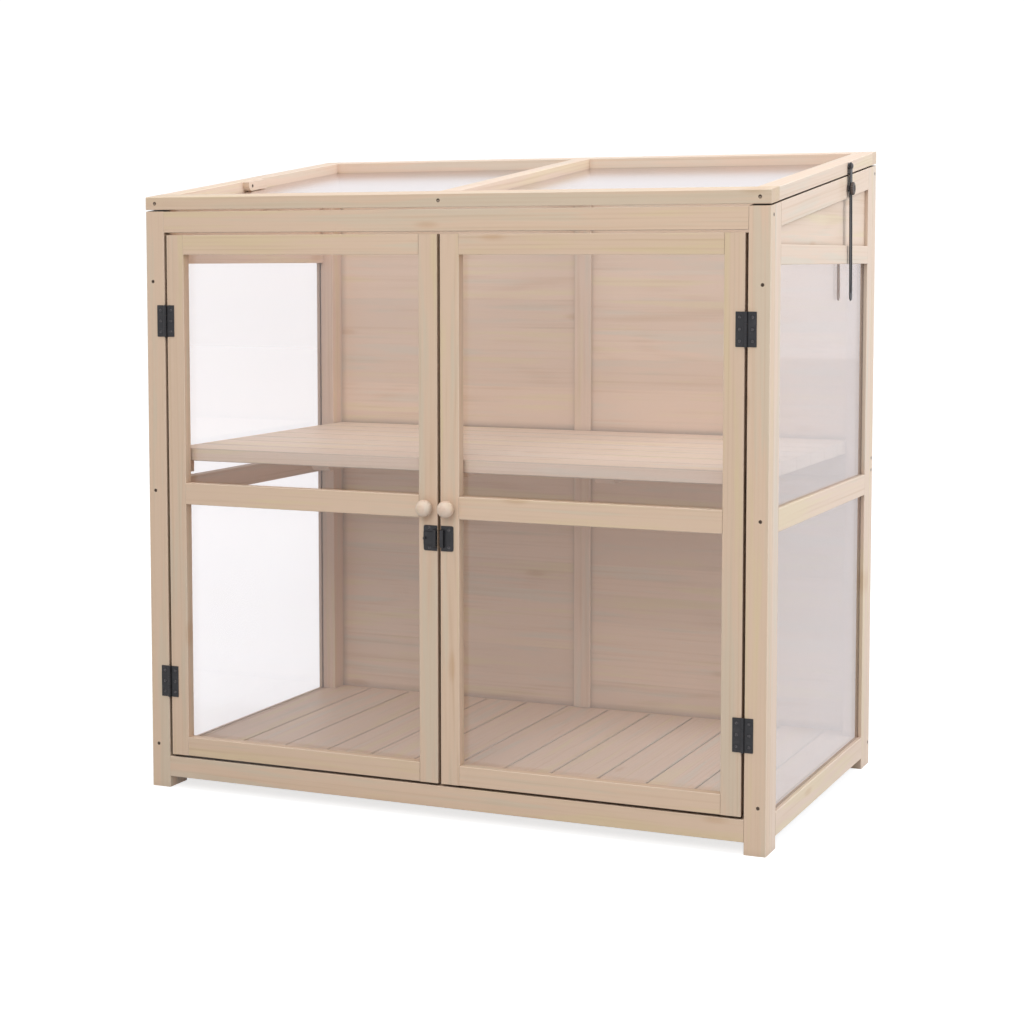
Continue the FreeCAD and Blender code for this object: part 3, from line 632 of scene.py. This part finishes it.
class Piece:
    """The points and faces of one built piece, in millimetres."""

    def __init__(self):
        self.points = []
        self.faces = []

    def add(self, points, faces):
        start = len(self.points)
        self.points.extend(points)
        self.faces.extend([start + i for i in face] for face in faces)

    def rings(self, rings, ends="closed"):
        """Rings of points joined one to the next. The ends are closed, open or joined together."""
        count = len(rings[0])
        faces = []
        for n in range(len(rings) if ends == "joined" else len(rings) - 1):
            here, there = n * count, (n + 1) % len(rings) * count
            for i in range(count):
                j = (i + 1) % count
                faces.append((here + i, here + j, there + j, there + i))
        if ends == "closed":
            faces.append(tuple(range(count)))
            faces.append(tuple(range((len(rings) - 1) * count, len(rings) * count)))
        self.add([point for ring in rings for point in ring], faces)

    def build(self, name, body, nodes, slot, finish):
        """The piece as an object that moves with a body and stands for CAD nodes."""
        mesh = bpy.data.meshes.new(name)
        places = [(x * MM, FRONT + y * MM, z * MM) for x, y, z in self.points]
        mesh.from_pydata(places, [], self.faces)
        work = bmesh.new()
        work.from_mesh(mesh)
        bmesh.ops.remove_doubles(work, verts=work.verts, dist=WELD)
        bmesh.ops.recalc_face_normals(work, faces=work.faces)
        work.to_mesh(mesh)
        work.free()
        mesh.polygons.foreach_set("use_smooth", [True] * len(mesh.polygons))
        mesh.set_sharp_from_angle(angle=SHARP_ANGLE)
        mesh.materials.append(finish)
        obj = bpy.data.objects.new(name, mesh)
        bpy.context.scene.collection.objects.link(obj)
        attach(obj, body)
        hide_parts(*nodes)


def arms(axis):
    """An axis of length 1, and two directions square to it and to each other."""
    axis = Vector(axis).normalized()
    side = axis.orthogonal().normalized()
    return axis, side, axis.cross(side)


def turns(count):
    """Angles evenly spaced round a full turn."""
    return [2 * math.pi * i / count for i in range(count)]


def turned(piece, profile, centre, axis, sides=32, ends="closed", flutes=0, cut=0.0):
    """A turned shape from (radius, distance) points along an axis, with flutes cut into its rim."""
    axis, side, across = arms(axis)
    widest = max(radius for radius, _ in profile)
    rings = []
    for radius, distance in profile:
        fluted = flutes and radius > widest - RIM
        ring = []
        for turn in turns(sides):
            dip = cut * (0.5 + 0.5 * math.cos(flutes * turn)) if fluted else 0.0
            arm = side * math.cos(turn) + across * math.sin(turn)
            ring.append(Vector(centre) + axis * distance + arm * (radius - dip))
        rings.append(ring)
    piece.rings(rings, ends)


def cross_recess(reach, width):
    """The outline of a cross, in 24 points from corner to corner."""
    corners = []
    for i in range(4):
        for u, v in ((reach, -width), (reach, width), (width, width)):
            for _ in range(i):
                u, v = -v, u
            corners.append((u, v))
    outline = []
    for (u, v), (p, q) in zip(corners, corners[1:] + corners[:1]):
        outline.extend([(u, v), ((u + p) / 2, (v + q) / 2)])
    return outline


def screw_head(piece, centre, axis, profile):
    """A head with a cross recess, on a profile from the flat round the recess to under the head."""
    axis, side, across = arms(axis)
    radius, top = profile[0]

    def ring(outline, distance):
        return [Vector(centre) + axis * distance + side * u + across * v for u, v in outline]

    rings = []
    for reach, width, depth in (RECESS_FLOOR, RECESS_MOUTH):
        rings.append(ring(cross_recess(radius * reach, radius * width), top + radius * depth))
    # The recess starts at a corner of an arm, so the rings start 15 degrees before its middle.
    angles = [math.radians(15 * i - 15) for i in range(24)]
    for size, distance in profile:
        rings.append(ring([(size * math.cos(a), size * math.sin(a)) for a in angles], distance))
    piece.rings(rings)


def thread(piece, centre, axis, start, end, core, ridge, pitch, tip):
    """A threaded shank, drawn in over the length of its tip."""
    axis, side, across = arms(axis)
    steps = max(4, round((end - start) / pitch * 4))
    rings = []
    for n in range(steps + 1):
        distance = start + (end - start) * n / steps
        taper = min(1.0, (end - distance) / tip * 0.85 + 0.15)
        ring = []
        for k, turn in enumerate(turns(THREAD_SIDES)):
            phase = (distance / pitch - k / THREAD_SIDES) % 1
            lift = ridge * max(0.0, 1 - abs(phase - 0.5) * 4)
            arm = side * math.cos(turn) + across * math.sin(turn)
            ring.append(Vector(centre) + axis * distance + arm * ((core + lift) * taper))
        rings.append(ring)
    piece.rings(rings)


def wood_screw(piece, centre, axis, length, head=3.0, radius=1.6):
    """A countersunk screw, its head flush, driven along an axis."""
    neck = head - radius + 0.2
    profile = [(head * 0.9, 0.0), (head, 0.18), (radius, neck), (radius * 0.95, neck + 0.4)]
    screw_head(piece, centre, axis, profile)
    thread(piece, centre, axis, neck, length, radius * 0.72, radius * 0.28, radius * 1.3, radius * 3)


def circle(u, v, radius, count=24):
    return [(u + radius * math.cos(a), v + radius * math.sin(a)) for a in turns(count)]


def rounded(u, v, radii):
    """A rectangle between two u and two v. The radii of its corners go round from the low one."""
    corners = ((u[0], v[0]), (u[1], v[0]), (u[1], v[1]), (u[0], v[1]))
    inward = ((1, 1), (-1, 1), (-1, -1), (1, -1))
    points = []
    for i, ((cu, cv), (du, dv), radius) in enumerate(zip(corners, inward, radii)):
        for step in range(CORNER_POINTS):
            turn = math.pi * (1 + i / 2) + math.pi / 2 * step / (CORNER_POINTS - 1)
            points.append((cu + radius * (du + math.cos(turn)), cv + radius * (dv + math.sin(turn))))
    return points


def thinned(outline):
    """An outline without the points that repeat the one before."""
    return [p for p, q in zip(outline, outline[-1:] + outline[:-1]) if math.dist(p, q) > 0.02]


def grown(outline, amount):
    """An outline with each side moved outwards."""
    points = [Vector(p) for p in outline]
    area = sum(a.x * b.y - b.x * a.y for a, b in zip(points, points[1:] + points[:1]))
    hand = 1 if area > 0 else -1
    moved = []
    for i, here in enumerate(points):
        before, after = here - points[i - 1], points[(i + 1) % len(points)] - here
        sides = (before.normalized(), after.normalized())
        out = [Vector((side.y, -side.x)) * hand for side in sides]
        way = (out[0] + out[1]).normalized()
        moved.append(tuple(here + way * (amount / max(0.4, way.dot(out[0])))))
    return moved


def plate(piece, outline, holes, place, low, high, ease=0.25):
    """A flat plate between two levels, its edges eased. Each hole is an outline and how far it is
    countersunk."""
    outline = thinned(outline)
    levels = [(low, -ease), (low + ease, 0.0), (high - ease, 0.0), (high, -ease)]
    walls = [[(grown(outline, size), level) for level, size in levels]]
    for hole, sink in holes:
        sink = max(sink, ease)
        sink_start = max(high - sink, low + ease * 1.5)
        levels = [(low, ease), (low + ease, 0.0), (sink_start, 0.0), (high, sink)]
        walls.append([(grown(hole, size), level) for level, size in levels])
    for wall in walls:
        piece.rings([[place(u, v, level) for u, v in ring] for ring, level in wall], "open")
    for end in (0, -1):
        rings = [wall[end][0] for wall in walls]
        level = walls[0][end][1]
        triangles = tessellate_polygon([[Vector((u, v, 0)) for u, v in ring] for ring in rings])
        piece.add([place(u, v, level) for ring in rings for u, v in ring], triangles)


# Hinges. A leaf is drawn in its own terms: s along the barrel, t away from its axis and w up from
# the timber. A leaf's reach is where its plate starts and ends and where its straps meet the barrel,
# as distances from the axis.

BARREL = 2.5
BARREL_SHOULDER = 2.3
BARREL_BORE = 1.25
BARREL_SIDES = 28
LEAF = 1.2
LEAF_CORNER = 0.6
LEAF_EASE = 0.18
KNUCKLE_PLAY = 0.15
SEAT_RADIUS = 2.1
SEAT_SINK = 0.93
STAND_OFF = 3.2

DOOR_HINGE_X = 479.75
DOOR_HINGE_LENGTH = 50.0
DOOR_HINGE_CENTRES = (174.0, 754.0)
DOOR_LEAF_REACH = (2.15, 15.5, 0.2)
DOOR_SEATS = ((8.0, 9.5), (25.0, 9.5), (42.0, 9.5))
DOOR_AXIS_RISE = BARREL + 0.2

LID_HINGE_LENGTH = 60.0
LID_HINGE_CENTRES = (-340.0, 340.0)
LID_LEAF_REACH = (STAND_OFF + 0.1, STAND_OFF + 19, 1.9)
LID_SEATS = ((10.0, 12.5), (30.0, 12.5), (50.0, 12.5))

# The length of a screw, the radius of its head and the radius of its thread
DOOR_LEAF_SCREW = (12.0, 2.4, 1.4)
LID_LEAF_SCREW = (14.0, 2.4, 1.4)
LATCH_SCREW = (12.0, 2.4, 1.3)
LATCH_PLATE = 1.5
LATCH_SEATS = {"left": ((-15.5, 416.5), (-15.5, 447.0)), "right": ((17.0, 418.5), (17.0, 445.0))}


def leaf(piece, place, reach, length, outer, rise, seats):
    """A hinge leaf with knuckles rolled at its edge, round an axis that lies rise above the timber.
    outer is true for the leaf with the two end knuckles."""
    near, far, curl = reach
    third = length / 3
    if outer:
        spans = ((0.0, third - KNUCKLE_PLAY), (2 * third + KNUCKLE_PLAY, length))
    else:
        spans = ((third + KNUCKLE_PLAY, 2 * third - KNUCKLE_PLAY),)
    outline = [(LEAF_CORNER, far), (0.0, far - LEAF_CORNER), (0.0, near)]
    for start, end in spans:
        outline.extend([(start, near), (start, curl), (end, curl), (end, near)])
    outline.extend([(length, near), (length, far - LEAF_CORNER), (length - LEAF_CORNER, far)])
    holes = [(circle(s, t, SEAT_RADIUS), SEAT_SINK) for s, t in seats]
    plate(piece, outline, holes, place, 0.0, LEAF, LEAF_EASE)
    for start, end in spans:
        tube = [(BARREL_BORE, start), (BARREL_SHOULDER, start), (BARREL, start + 0.25)]
        tube.extend([(BARREL, end - 0.25), (BARREL_SHOULDER, end), (BARREL_BORE, end)])
        rings = []
        for radius, s in tube:
            rings.append([place(s, t, w) for t, w in circle(0.0, rise, radius, BARREL_SIDES)])
        piece.rings(rings, "joined")


def pin(piece, centre, axis, length):
    """A hinge pin with rounded ends that stand out of its barrel."""
    end = [(0.3, 0.8), (0.9, 0.65), (1.2, 0.2)]
    profile = [(radius, -out) for radius, out in end]
    profile.extend((radius, length + out) for radius, out in reversed(end))
    turned(piece, profile, centre, axis, 24)


def door_hinges(black, steel, screw):
    """The doors' hinges with their screws, and the screws of the latch in the same doors."""
    fixed, pins, fixings = Piece(), Piece(), Piece()
    for hand, side in ((1, "right"), (-1, "left")):
        moving, driven = Piece(), Piece()
        for middle in DOOR_HINGE_CENTRES:
            low = middle - DOOR_HINGE_LENGTH / 2

            def on_post(s, t, w):
                return hand * (DOOR_HINGE_X + t), -w, low + s

            def on_door(s, t, w):
                return hand * (DOOR_HINGE_X - t), -w, low + s

            for piece, held, place in ((fixed, fixings, on_post), (moving, driven, on_door)):
                outer = piece is fixed
                leaf(piece, place, DOOR_LEAF_REACH, DOOR_HINGE_LENGTH, outer, DOOR_AXIS_RISE, DOOR_SEATS)
                for seat in DOOR_SEATS:
                    wood_screw(held, place(*seat, LEAF), Y_AXIS, *DOOR_LEAF_SCREW)
            pin(pins, (hand * DOOR_HINGE_X, -DOOR_AXIS_RISE, low), Z_AXIS, DOOR_HINGE_LENGTH)
        for x, z in LATCH_SEATS[side]:
            wood_screw(driven, (x, -LATCH_PLATE, z), Y_AXIS, *LATCH_SCREW)
        door = side + "_door"
        moving.build(door + "_hinge_leaves", door, [door + "_leaves"], "black_steel", black)
        driven.build(door + "_fixings", door, [door + "_screws"], "dark_screw", screw)
    fixed.build("door_hinge_post_leaves", "cabinet", ["door_frame_leaves"], "black_steel", black)
    fixings.build("door_hinge_fixings", "cabinet", ["frame_screws"], "dark_screw", screw)
    pins.build("door_hinge_pin_rods", "cabinet", ["door_hinge_pins"], "hinge_pin", steel)


def lid_top(y):
    return FRONT_HEIGHT + SLOPE * y


def lid_hinge_place(low, flip):
    """Where a leaf's points go in the lid's seam: on the cabinet with flip 1, on the lid with -1."""
    axis_y = DEPTH + STAND_OFF
    axis_z = lid_top(DEPTH) - LID_DROP - SEAM / 2

    def place(s, t, w):
        return low + s, axis_y - t, axis_z + flip * (w - SEAM / 2) - SLOPE * max(0.0, t - STAND_OFF)

    return place


def lid_hinges(black, steel):
    fixed, moving, pins = Piece(), Piece(), Piece()
    for middle in LID_HINGE_CENTRES:
        low = middle - LID_HINGE_LENGTH / 2
        for piece, flip in ((fixed, 1), (moving, -1)):
            place = lid_hinge_place(low, flip)
            leaf(piece, place, LID_LEAF_REACH, LID_HINGE_LENGTH, flip == 1, SEAM / 2, LID_SEATS)
        pin(pins, lid_hinge_place(low, 1)(0, 0, SEAM / 2), X_AXIS, LID_HINGE_LENGTH)
    fixed.build("lid_hinge_cabinet_leaves", "cabinet", ["lid_frame_leaves"], "black_steel", black)
    moving.build("lid_hinge_lid_leaves", "lid", ["lid_leaves"], "black_steel", black)
    pins.build("lid_hinge_pin_rods", "cabinet", ["lid_hinge_pins"], "hinge_pin", steel)


# Screws of the frames, by the places of their heads

FRONT_POST_X = HALF - 12
FRONT_POST_HEIGHTS = (70.0, 482.0, 816.5)
REAR_POST_Y = 602.0
REAR_POST_HEIGHTS = (37.0, 500.0, 520.0, 993.0)
SLOPE_RAIL_HEAD = (13.3, 915.0)
LID_RAIL_X = HALF - 16.5
BLOCK_HEAD = (-470.0, 257.0)


def screws(finish):
    frames, lid = Piece(), Piece()
    for hand in (1, -1):
        for z in FRONT_POST_HEIGHTS:
            wood_screw(frames, (hand * FRONT_POST_X, 0, z), Y_AXIS, 38.0)
        heads = [SLOPE_RAIL_HEAD] + [(REAR_POST_Y, z) for z in REAR_POST_HEIGHTS]
        for head in heads:
            wood_screw(frames, (hand * HALF, *head), X_AXIS * -hand, 55.0)
    for x in (-LID_RAIL_X, 0.0, LID_RAIL_X):
        wood_screw(lid, (x, -0.1, lid_top(0) - LID_DROP / 2), Y_AXIS, 70.0)
        wood_screw(lid, (x, DEPTH + 0.1, lid_top(DEPTH) - LID_DROP / 2), Y_AXIS * -1, 60.0)
    x, y = BLOCK_HEAD
    wood_screw(lid, (x, y, lid_top(y) - 8), X_AXIS * -1, 25.0)
    for middle in LID_HINGE_CENTRES:
        for piece, flip in ((frames, 1), (lid, -1)):
            place = lid_hinge_place(middle - LID_HINGE_LENGTH / 2, flip)
            for seat in LID_SEATS:
                wood_screw(piece, place(*seat, LEAF), ABOVE * -flip, *LID_LEAF_SCREW)
    frames.build("cabinet_fixings", "cabinet", ["frame_screws"], "dark_screw", finish)
    lid.build("lid_fixings", "lid", ["lid_screws"], "dark_screw", finish)


# Knobs of the doors

KNOB_X = 18.0
KNOB_Z = 478.0
BALL_RADIUS = 12.8
BALL_CENTRE = 15.5
BALL_START = 0.42
BALL_SWEEP = math.pi - 0.44
BALL_POINTS = 20
# The spigot in the stile and the turned neck up to the ball
KNOB_NECK = ((3.0, -9.0), (3.0, -0.2), (5.6, 0.0), (6.3, 0.5), (6.0, 1.2), (5.0, 2.2), (4.8, 3.0))
KNOB_SEED = 61


def door_knobs():
    profile = list(KNOB_NECK)
    for i in range(BALL_POINTS):
        turn = BALL_START + BALL_SWEEP * i / (BALL_POINTS - 1)
        profile.append((BALL_RADIUS * math.sin(turn), BALL_CENTRE - BALL_RADIUS * math.cos(turn)))
    for hand, side in ((1, "right"), (-1, "left")):
        piece = Piece()
        turned(piece, profile, (hand * KNOB_X, 0.0, KNOB_Z), Y_AXIS * -1, 56)
        finish = Pine("turned_pine_" + side, "turned").material(KNOB_SEED + hand)
        piece.build(side + "_door_turned_knob", side + "_door", [side + "_door_knob"], "pine", finish)


# Latch: base plate and bridge on the left door, keeper plate and bridge on the right, bolt between

LATCH_HEIGHTS = (412.5, 451.0)
LATCH_SEAT_RADIUS = 2.0
BRIDGE_OUTSIDE = (418.0, 445.5)
BRIDGE_INSIDE = (421.6, 441.9)
BRIDGE_TOP = 6.5
BRIDGE_WALL = 1.2
BOLT_HEIGHTS = (422.0, 441.5)
BOLT_BACK = 1.85
BOLT_FACE = 4.45
GRIP = ((1.4, 0.0), (1.4, 1.2), (2.1, 1.5), (2.35, 2.1), (2.2, 2.9), (1.5, 3.4), (0.3, 3.5))
GRIP_X = -21.4


def on_front(x, z, rise):
    return x, -rise, z


def bridge(piece, x):
    """A strap bent over the bolt, with rounded shoulders."""
    foot = LATCH_PLATE - 0.2
    low, high = BRIDGE_OUTSIDE
    inner_low, inner_high = BRIDGE_INSIDE
    # Each outline keeps its last two corners, the shoulders, and gets square feet.
    shoulders = 2 * CORNER_POINTS
    outer = rounded(BRIDGE_OUTSIDE, (foot, BRIDGE_TOP), (0, 0, 2.2, 2.2))[shoulders:]
    inner = rounded(BRIDGE_INSIDE, (foot, BRIDGE_TOP - BRIDGE_WALL), (0, 0, 1.0, 1.0))[shoulders:]
    feet = [(low, foot), (inner_low, foot)], [(inner_high, foot), (high, foot)]

    def place(z, rise, level):
        return level, -rise, z

    plate(piece, outer + feet[0] + inner[::-1] + feet[1], [], place, x[0], x[1])


def latch(black):
    base, keeper, slide = Piece(), Piece(), Piece()
    plates = (
        (base, "left", (-25.0, -2.6), (3, 0, 0, 3), (-7.4, -2.6)),
        (keeper, "right", (4.0, 24.5), (0, 3, 3, 0), (4.0, 9.6)),
    )
    for piece, side, x, radii, bridge_x in plates:
        holes = [(circle(u, v, LATCH_SEAT_RADIUS), SEAT_SINK) for u, v in LATCH_SEATS[side]]
        plate(piece, rounded(x, LATCH_HEIGHTS, radii), holes, on_front, 0.0, LATCH_PLATE)
        bridge(piece, bridge_x)
    bar = rounded((-24.0, -3.6), BOLT_HEIGHTS, (0.6, 2.6, 2.6, 0.6))
    plate(slide, bar, [], on_front, BOLT_BACK, BOLT_FACE, 0.5)
    turned(slide, GRIP, (GRIP_X, -BOLT_FACE, sum(BOLT_HEIGHTS) / 2), Y_AXIS * -1)
    base.build("latch_base_plate", "left_door", ["latch_base"], "black_steel", black)
    keeper.build("latch_keeper_plate", "right_door", ["latch_keeper"], "black_steel", black)
    slide.build("latch_sliding_bolt", "latch_slide", ["latch_bolt"], "black_steel", black)


# Lid stay: the bar on its pivot, the clamp bolt in the slope rail and the knob on it

STAY_PIVOT = (426.0, 998.5)
STAY_CLAMP = (426.0, 963.5)
STAY_RATIO = 0.6
LID_OPEN = 52.0
BAR_WIDTH = 13.0
BAR_TAIL = 9.0
BAR_INNER = HALF + 3.0
BAR_OUTER = HALF + 5.0
SLOT_WIDTH = 5.2
SLOT_SPARE = 0.8
PATH_STEPS = 16
SPACER = ((4.6, 0.0), (5.0, 0.3), (5.0, 2.5), (4.7, 2.8))
KNOB_SEAT = 5.3
KNOB_FLUTES = 16
FLUTE_DEPTH = 0.7


def turn_about(point, centre, degrees):
    """A (y, z) point turned about a centre, the way that lifts what is in front of it."""
    angle = math.radians(-degrees)
    y, z = point[0] - centre[0], point[1] - centre[1]
    turned_y = y * math.cos(angle) - z * math.sin(angle)
    turned_z = y * math.sin(angle) + z * math.cos(angle)
    return centre[0] + turned_y, centre[1] + turned_z


def bolt_in_bar(lid_angle):
    """Where the clamp bolt is in the bar, as drawn at rest, at an angle of the lid."""
    hinge = (DEPTH + STAND_OFF, lid_top(DEPTH) - LID_DROP - SEAM / 2)
    in_lid = turn_about(STAY_CLAMP, hinge, -lid_angle)
    return Vector(turn_about(in_lid, STAY_PIVOT, STAY_RATIO * lid_angle))


def ribbon(path, width):
    """The outline of a strip along a path, with round ends."""
    first, last = (path[1] - path[0]).normalized(), (path[-1] - path[-2]).normalized()
    ways = [first] + [(b - a).normalized() for a, b in zip(path, path[2:])] + [last]
    sides = [Vector((-way.y, way.x)) * (width / 2) for way in ways]
    there = [p + side for p, side in zip(path, sides)]
    back = [p - side for p, side in zip(path, sides)]

    def cap(centre, side, ahead):
        angles = [math.pi * i / 14 for i in range(1, 14)]
        return [centre + side * math.cos(a) + ahead * math.sin(a) for a in angles]

    end = cap(path[-1], sides[-1], last * (width / 2))
    start = cap(path[0], -sides[0], first * (-width / 2))
    return [tuple(p) for p in there + end + back[::-1] + start]


def stay_bar(black):
    """A straight bar from the pivot down past the bolt, with a slot along the bolt's path in it."""
    path = [bolt_in_bar(LID_OPEN * i / PATH_STEPS) for i in range(PATH_STEPS + 1)]
    pivot = Vector(STAY_PIVOT)
    down = (path[-1] - path[0]).normalized()
    across = Vector((-down.y, down.x))
    middle = path[0] + across * ((path[PATH_STEPS // 2] - path[0]).dot(across) / 2)
    top = middle + down * (pivot - middle).dot(down)
    tail = middle + down * ((path[-1] - path[0]).length + BAR_TAIL)

    def on_side(y, z, level):
        return level, y, z

    bar = Piece()
    slot_path = [path[0] - down * SLOT_SPARE] + path + [path[-1] + down * SLOT_SPARE]
    holes = [(ribbon(slot_path, SLOT_WIDTH), 0.0), (circle(*pivot, SLOT_WIDTH / 2, 32), 0.0)]
    outline = ribbon([top, (top + tail) / 2, tail], BAR_WIDTH)
    plate(bar, outline, holes, on_side, BAR_INNER, BAR_OUTER, 0.4)
    bar.build("lid_stay_slotted_bar", "lid_stay", ["lid_stay_bar"], "black_steel", black)


def stay_pivot(screw):
    post = Piece()
    seat = (HALF, *STAY_PIVOT)
    turned(post, (*SPACER, (2.5, 2.8), (2.5, 5.3)), seat, X_AXIS, 36)
    thread(post, seat, X_AXIS * -1, -0.2, 14.0, 1.5, 0.5, 2.2, 5.0)
    head = ((3.4, -7.4), (4.2, -7.0), (4.6, -6.3), (4.6, -5.6), (4.3, -5.2))
    screw_head(post, seat, X_AXIS * -1, head)
    post.build("lid_stay_pivot_screw", "lid", ["lid_stay_pivot"], "dark_screw", screw)


def stay_clamp(screw):
    """The clamp bolt with its spacer, and the fluted knob on its end."""
    bolt, knob = Piece(), Piece()
    seat = (HALF, *STAY_CLAMP)
    turned(bolt, (*SPACER, (2.1, 2.8), (2.1, 5.0)), seat, X_AXIS, 36)
    thread(bolt, seat, X_AXIS, -15.0, 9.9, 1.95, 0.25, 0.9, 0.4)
    bolt.build("lid_stay_clamp_bolt", "cabinet", ["lid_stay_bolt"], "dark_screw", screw)
    rim = ((2.3, 0.0), (5.6, 0.0), (9.6, 0.7), (10.4, 1.4), (10.4, 3.6), (9.7, 4.5))
    face = ((8.0, 5.0), (5.0, 4.9), (4.2, 4.2), (2.3, 4.1))
    profile = [(radius, KNOB_SEAT + rise) for radius, rise in rim + face]
    turned(knob, profile, seat, X_AXIS, 96, "joined", KNOB_FLUTES, FLUTE_DEPTH)
    plastic = moulded_plastic("clamp_knob_plastic")
    knob.build("lid_stay_clamp_knob", "cabinet", ["lid_stay_knob"], "knob_plastic", plastic)


# Stage, light and camera

FLOOR_REACH = 14.0
PAPER = colour(188, 188, 188)
PAPER_SPECK = colour(194, 194, 194)
# The floor's own glow, which is weaker near the cabinet and so leaves its shadow, and how far off
# the stronger glow starts and is reached
NEAR_GLOW = 0.73
MORE_GLOW = 0.15
GLOW_START = 1.0
GLOW_END = 3.5
MIRRORED_FLOOR = 0.98
SKY_LIGHT = (0.43, 0.43, 0.43, 1.0)
SKY_SEEN = (1.08, 1.08, 1.08, 1.0)


def studio():
    ground = bpy.data.meshes.new("studio_floor")
    reach = FLOOR_REACH
    corners = [(-reach, -reach, 0), (reach, -reach, 0), (reach, reach, 0), (-reach, reach, 0)]
    ground.from_pydata(corners, [], [(0, 1, 2, 3)])
    ground.materials.append(floor_paper())
    plane = bpy.data.objects.new("studio_floor", ground)
    bpy.context.scene.collection.objects.link(plane)


def floor_paper():
    """Pale paper, lit by the lamps, with a glow of its own where the camera sees it."""
    paper = new_finish("studio_paper")
    place = paper.place()
    speckle = paper.noise(place, 60.0, 2.0, 0.5)
    matt = paper.node("BsdfDiffuse", None, {"Color": paper.blend(speckle, PAPER, PAPER_SPECK)})
    camera_ray = paper.node("LightPath", output="Is Camera Ray")
    glossy_ray = paper.node("LightPath", output="Is Glossy Ray")
    distance = paper.node("VectorMath", {"operation": "LENGTH"}, {0: place}, "Value")
    strength = distance.between(GLOW_START, GLOW_END) * MORE_GLOW + NEAR_GLOW
    glow = paper.node("Emission", None, {"Strength": camera_ray * strength})
    seen = paper.node("AddShader", None, {0: matt, 1: glow})
    mirrored = paper.node("Emission", None, {"Strength": MIRRORED_FLOOR})
    return paper.surface(paper.node("MixShader", None, {0: glossy_ray, 1: seen, 2: mirrored}))


def daylight():
    """White where it is seen or mirrored, and a softer white where it lights the timber."""
    bpy.context.scene.world = bpy.data.worlds.new("studio_world")
    sky = Finish(bpy.context.scene.world)
    kinds = ("Camera", "Glossy", "Transmission")
    rays = [sky.node("LightPath", output="Is " + kind + " Ray") for kind in kinds]
    seen = rays[0].most(rays[1]).most(rays[2])
    shade = sky.blend(seen, SKY_LIGHT, SKY_SEEN)
    sky.node("OutputWorld", None, {"Surface": sky.node("Background", None, {"Color": shade})})


def softbox(name, place, target, size, power, shade):
    lamp = bpy.data.lights.new(name, "AREA")
    lamp.size = size
    lamp.energy = power
    lamp.color = shade
    obj = bpy.data.objects.new(name, lamp)
    obj.location = place
    obj.rotation_mode = "QUATERNION"
    obj.rotation_quaternion = (Vector(target) - Vector(place)).to_track_quat("-Z", "Y")
    obj.visible_camera = False
    obj.visible_glossy = False
    bpy.context.scene.collection.objects.link(obj)


def lamps():
    softbox("right_softbox", (3.3, 0.6, 2.2), (0, 0, 0.5), 2.2, 76.0, (0.80, 0.91, 1.0))
    softbox("front_softbox", (0.7, -3.4, 2.4), (0, 0, 0.4), 2.0, 56.0, (0.93, 0.98, 1.0))
    softbox("top_softbox", (0.2, -0.4, 4.0), (0, 0, 0.6), 2.2, 46.0, (0.93, 0.98, 1.0))


def camera():
    data = bpy.data.cameras.new("photo_camera")
    data.sensor_fit = "HORIZONTAL"
    data.sensor_width = SENSOR
    data.lens = FOCAL_PIXELS / IMAGE_SIDE * SENSOR
    data.shift_y = CAMERA_SHIFT
    data.clip_end = CAMERA_SIGHT
    obj = bpy.data.objects.new("photo_camera", data)
    azimuth, down = math.radians(CAMERA_AZIMUTH), math.radians(CAMERA_DOWN)
    level = math.cos(down)
    ahead = Vector((-math.sin(azimuth) * level, math.cos(azimuth) * level, -math.sin(down)))
    obj.location = CAMERA_PLACE
    obj.rotation_mode = "QUATERNION"
    obj.rotation_quaternion = ahead.to_track_quat("-Z", "Y")
    bpy.context.scene.collection.objects.link(obj)
    bpy.context.scene.camera = obj


black_coat = coated_steel("black_powder_coat")
black_screw = dark_steel("blackened_screw", colour(122, 119, 121), colour(70, 68, 71), 600.0)
pin_steel = dark_steel("hinge_pin_steel", colour(96, 96, 98), colour(66, 66, 68), 300.0)
brown_screw = dark_steel("phosphated_screw", colour(118, 102, 90), colour(84, 70, 60), 480.0)
timber()
panes()
door_hinges(black_coat, pin_steel, black_screw)
lid_hinges(black_coat, pin_steel)
screws(brown_screw)
door_knobs()
latch(black_coat)
stay_bar(black_coat)
stay_pivot(black_screw)
stay_clamp(black_screw)
studio()
daylight()
lamps()
camera()
bpy.context.scene.view_settings.view_transform = "Standard"
